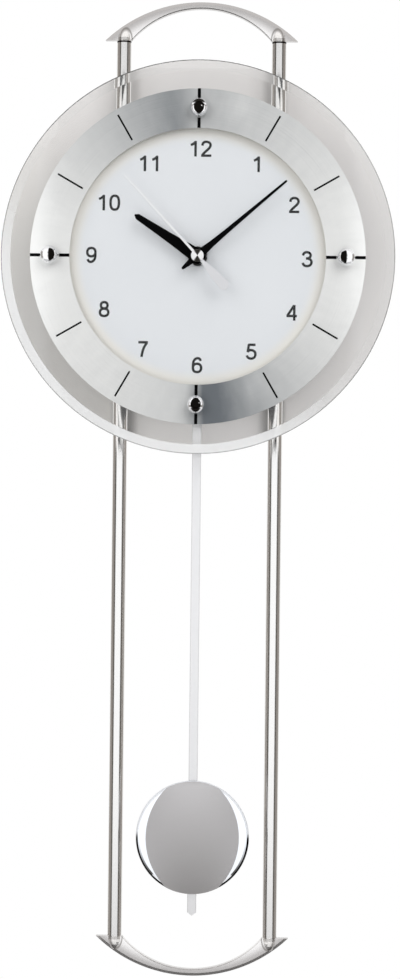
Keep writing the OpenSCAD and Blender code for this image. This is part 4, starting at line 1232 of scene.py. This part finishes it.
hood = {
    "dark": (0.008, 0.007, 0.006, 1),
    "front": -0.107,
    "back": -0.078,
    "top": 0.05,
    "foot": -0.19,
    "halfWidth": 0.103,
    "fade": 0.012,
    "wing": 0.05,  # half of how far each white wing reaches out to the side
    "white": (1.2, 1.2, 1.2, 1),
    "glints": [(0.024, 0.022), (0.0336, -0.153)],  # x and z of two small lights on the board
    "glintRise": 0.01,
    "glintHalf": 0.005,
    "glintTone": (1.3, 1.28, 1.25, 1),
}


def makeDialHood():
    # dark board close in front of the dial, with a roof and a foot, and a white wing
    # at each side: what the ball nuts mirror
    front, top, foot, wide = hood["front"], hood["top"], hood["foot"], hood["halfWidth"]
    middle, deep = (front + hood["back"]) / 2, (hood["back"] - front) / 2
    centre, tall = (top + foot) / 2, (top - foot) / 2
    card("dialShade", (0, front, centre), (wide, 0, 0), (0, 0, tall), hood["dark"],
         hood["fade"])
    for name, height in (("shadeRoof", top), ("shadeFoot", foot)):
        card(name, (0, middle, height), (wide - hood["fade"], 0, 0), (0, deep, 0),
             hood["dark"])
    for side in (-1, 1):
        card("whiteWing", (side * (wide + hood["wing"]), middle, centre),
             (side * hood["wing"], deep, 0), (0, 0, tall), hood["white"])
    half = hood["glintHalf"]
    for x, z in hood["glints"]:
        card("glint", (x, front + hood["glintRise"], z), (half, 0, 0), (0, 0, half),
             hood["glintTone"])


frontBox = {
    "radius": 3.0,
    "halfWidth": 125,  # degrees either side of straight in front
    "halfHeight": 1.4,
    "columns": 64,
    "lightWidth": (42, 54),  # degrees over which the light fades to the flags
    "flagWidth": (66, 76),  # degrees over which the flags fade to the side light
    "lightHeight": (0.17, 0.46),  # the same in height, as a slope
    "bright": (1.25, 1.28, 1.31, 1),
    "flag": (0.108, 0.1, 0.089, 1),
    "side": (0.35, 0.33, 0.31, 1),
}


def makeFrontBox():
    # the wide soft light round the camera with a dark flag at each side of it
    size, columns = frontBox, frontBox["columns"]
    verts = []
    for k in range(columns + 1):
        a = math.radians(size["halfWidth"] * (2 * k / columns - 1))
        for side in (-1, 1):
            verts.append((size["radius"] * math.sin(a), -size["radius"] * math.cos(a),
                          camera["place"][2] + size["halfHeight"] * side))
    thing = stageMesh("frontBox", verts, [
        (2 * k, 2 * k + 2, 2 * k + 3, 2 * k + 1) for k in range(columns)])
    sheet = newFinish("frontBoxGlow")
    x, y, z = sheet.spot((0, 0, camera["place"][2]))
    turn = abs(sheet.maths("ARCTAN2", x, 0.0 - y)) * inDegrees
    lit = (1.0 - sheet.step(turn, *size["lightWidth"])) * (
        1.0 - sheet.step(abs(z) / size["radius"], *size["lightHeight"]))
    unlit = sheet.blend(sheet.step(turn, *size["flagWidth"]), size["flag"], size["side"])
    thing.data.materials.append(
        sheet.close(sheet.glow(sheet.blend(lit, unlit, size["bright"]))))
    showOnlyTo(thing, "glossy", "transmission")


floor = {
    "height": -1.15,
    "radius": 1.3,
    "corners": 96,
    "grainScale": 300.0,
    "tones": ((0.88, 0.88, 0.88, 1), (0.84, 0.84, 0.84, 1)),
}


def makeFloor():
    r, z, count = floor["radius"], floor["height"], floor["corners"]
    angles = [2 * math.pi * k / count for k in range(count)]
    thing = stageMesh("paleFloor", [(r * math.cos(a), r * math.sin(a), z) for a in angles])
    sheet = newFinish("floorPaper")
    grain = sheet.noise(floor["grainScale"])
    thing.data.materials.append(sheet.surface(
        sheet.blend(grain, *floor["tones"]), 0.9, others={"Specular IOR Level": 0.1}))


wall = {
    "tone": (0.895, 0.865, 0.85, 1),
    "shadeTone": (0.755, 0.73, 0.7, 1),
    "shadeReach": (0.0, 0.11),
    "glow": (0.17, 0.166, 0.168, 1),
    "glowDepth": (0.075, 0.105),  # below the dial's centre
    "glowSide": (0.03, 0.05),
    "tubeTone": (0.16, 0.15, 0.14, 1),
    "tubeSides": ((0.0362, 0.0432), (0.0512, 0.056)),
    "tubeShade": (0.35, 0.4),  # above the dial's centre, and what is added under it
    "halfWidth": 0.16,
    "foot": -0.24,
    "top": 0.09,
}


def makeWall():
    # the wall behind the clock, which only rays through the glass see, with painted shade towards
    # the lower left and beside the tubes, and a painted glow low down
    r, low, high = wall["halfWidth"], wall["foot"], wall["top"]
    thing = stageMesh("wallBehindGlass", [(-r, 0, low), (r, 0, low), (r, 0, high), (-r, 0, high)])
    sheet = newFinish("wallPaper")
    x, y, z = sheet.spot((0, 0, dialHeight))
    # painted shade towards the lower left
    away = sheet.step(0.0 - x - z * 0.7, *wall["shadeReach"])
    aside, drop = abs(x), 0.0 - z
    # a little light of its own low down, where the clock would shade it too much
    lit = sheet.step(drop, *wall["glowDepth"]) * (1.0 - sheet.step(aside, *wall["glowSide"]))
    # the tubes' own shade beside them, wider on their inner sides
    shaded = sheet.between(aside, *wall["tubeSides"]) * (
        wall["tubeShade"][0] + sheet.step(drop, 0.0, 0.05) * wall["tubeShade"][1])
    tone = sheet.blend(away, wall["tone"], wall["shadeTone"])
    thing.data.materials.append(sheet.surface(
        sheet.blend(shaded, tone, wall["tubeTone"]), 1.0, others={
            "Specular IOR Level": 0.0, "Emission Strength": 1.0,
            "Emission Color": sheet.blend(lit, (0, 0, 0, 1), wall["glow"])}))
    showOnlyTo(thing, "transmission")


lamps = {  # place, width in metres and power in watts; all point at the same spot
    "keyLamp": ((0.95, -1.7, 1.15), 1.5, 21.0),
    "fillLamp": ((-1.2, -1.6, 0.8), 1.6, 13.0),
    "lowLamp": ((-0.3, -2.0, -0.9), 0.9, 5.0),
    "backLamp": ((0.7, 2.4, 1.0), 1.4, 26.0),
}
lampAim = (0, -0.05, -0.15)


def hangLamps():
    for name, (spot, size, power) in lamps.items():
        data = bpy.data.lights.new(name, "AREA")
        data.shape = "SQUARE"
        data.size = size
        data.energy = power
        thing = addObject(name, data)
        thing.location = spot
        way = Vector(lampAim) - Vector(spot)
        thing.rotation_euler = way.to_track_quat("-Z", "Y").to_euler()
        for kind in ("camera", "glossy", "transmission"):
            setattr(thing, "visible_" + kind, False)


def makeCamera():
    data = bpy.data.cameras.new("photoCamera")
    data.sensor_width = 36
    data.lens = camera["lens"]
    data.shift_x = camera["shift"]
    data.shift_y = camera["rise"]
    data.clip_start = 0.05
    data.clip_end = 50
    thing = addObject("photoCamera", data)
    thing.location = camera["place"]
    turned = Matrix.Rotation(math.radians(camera["turn"]), 3, "Z")
    rolled = Matrix.Rotation(math.radians(camera["roll"]), 3, "Y")
    upright = Matrix.Rotation(math.pi / 2, 3, "X")
    thing.rotation_euler = (turned @ rolled @ upright).to_euler()
    bpy.context.scene.camera = thing


makeWorld()
makeFloor()
makeWall()
hangLamps()
makeDialHood()
makeFrontBox()
card("topBox", (0, -0.7, 1.6), (0.9, 0, 0), (0, 0.6, 0), (0.95, 0.95, 0.95, 1))
# dark strip under the clock, for the line of shade on its lower edges
card("lowFlag", (0, -0.075, -0.62), (0.15, 0, 0), (0, 0.045, 0), hood["dark"])
makeCamera()
print("studio, lamps and camera set")
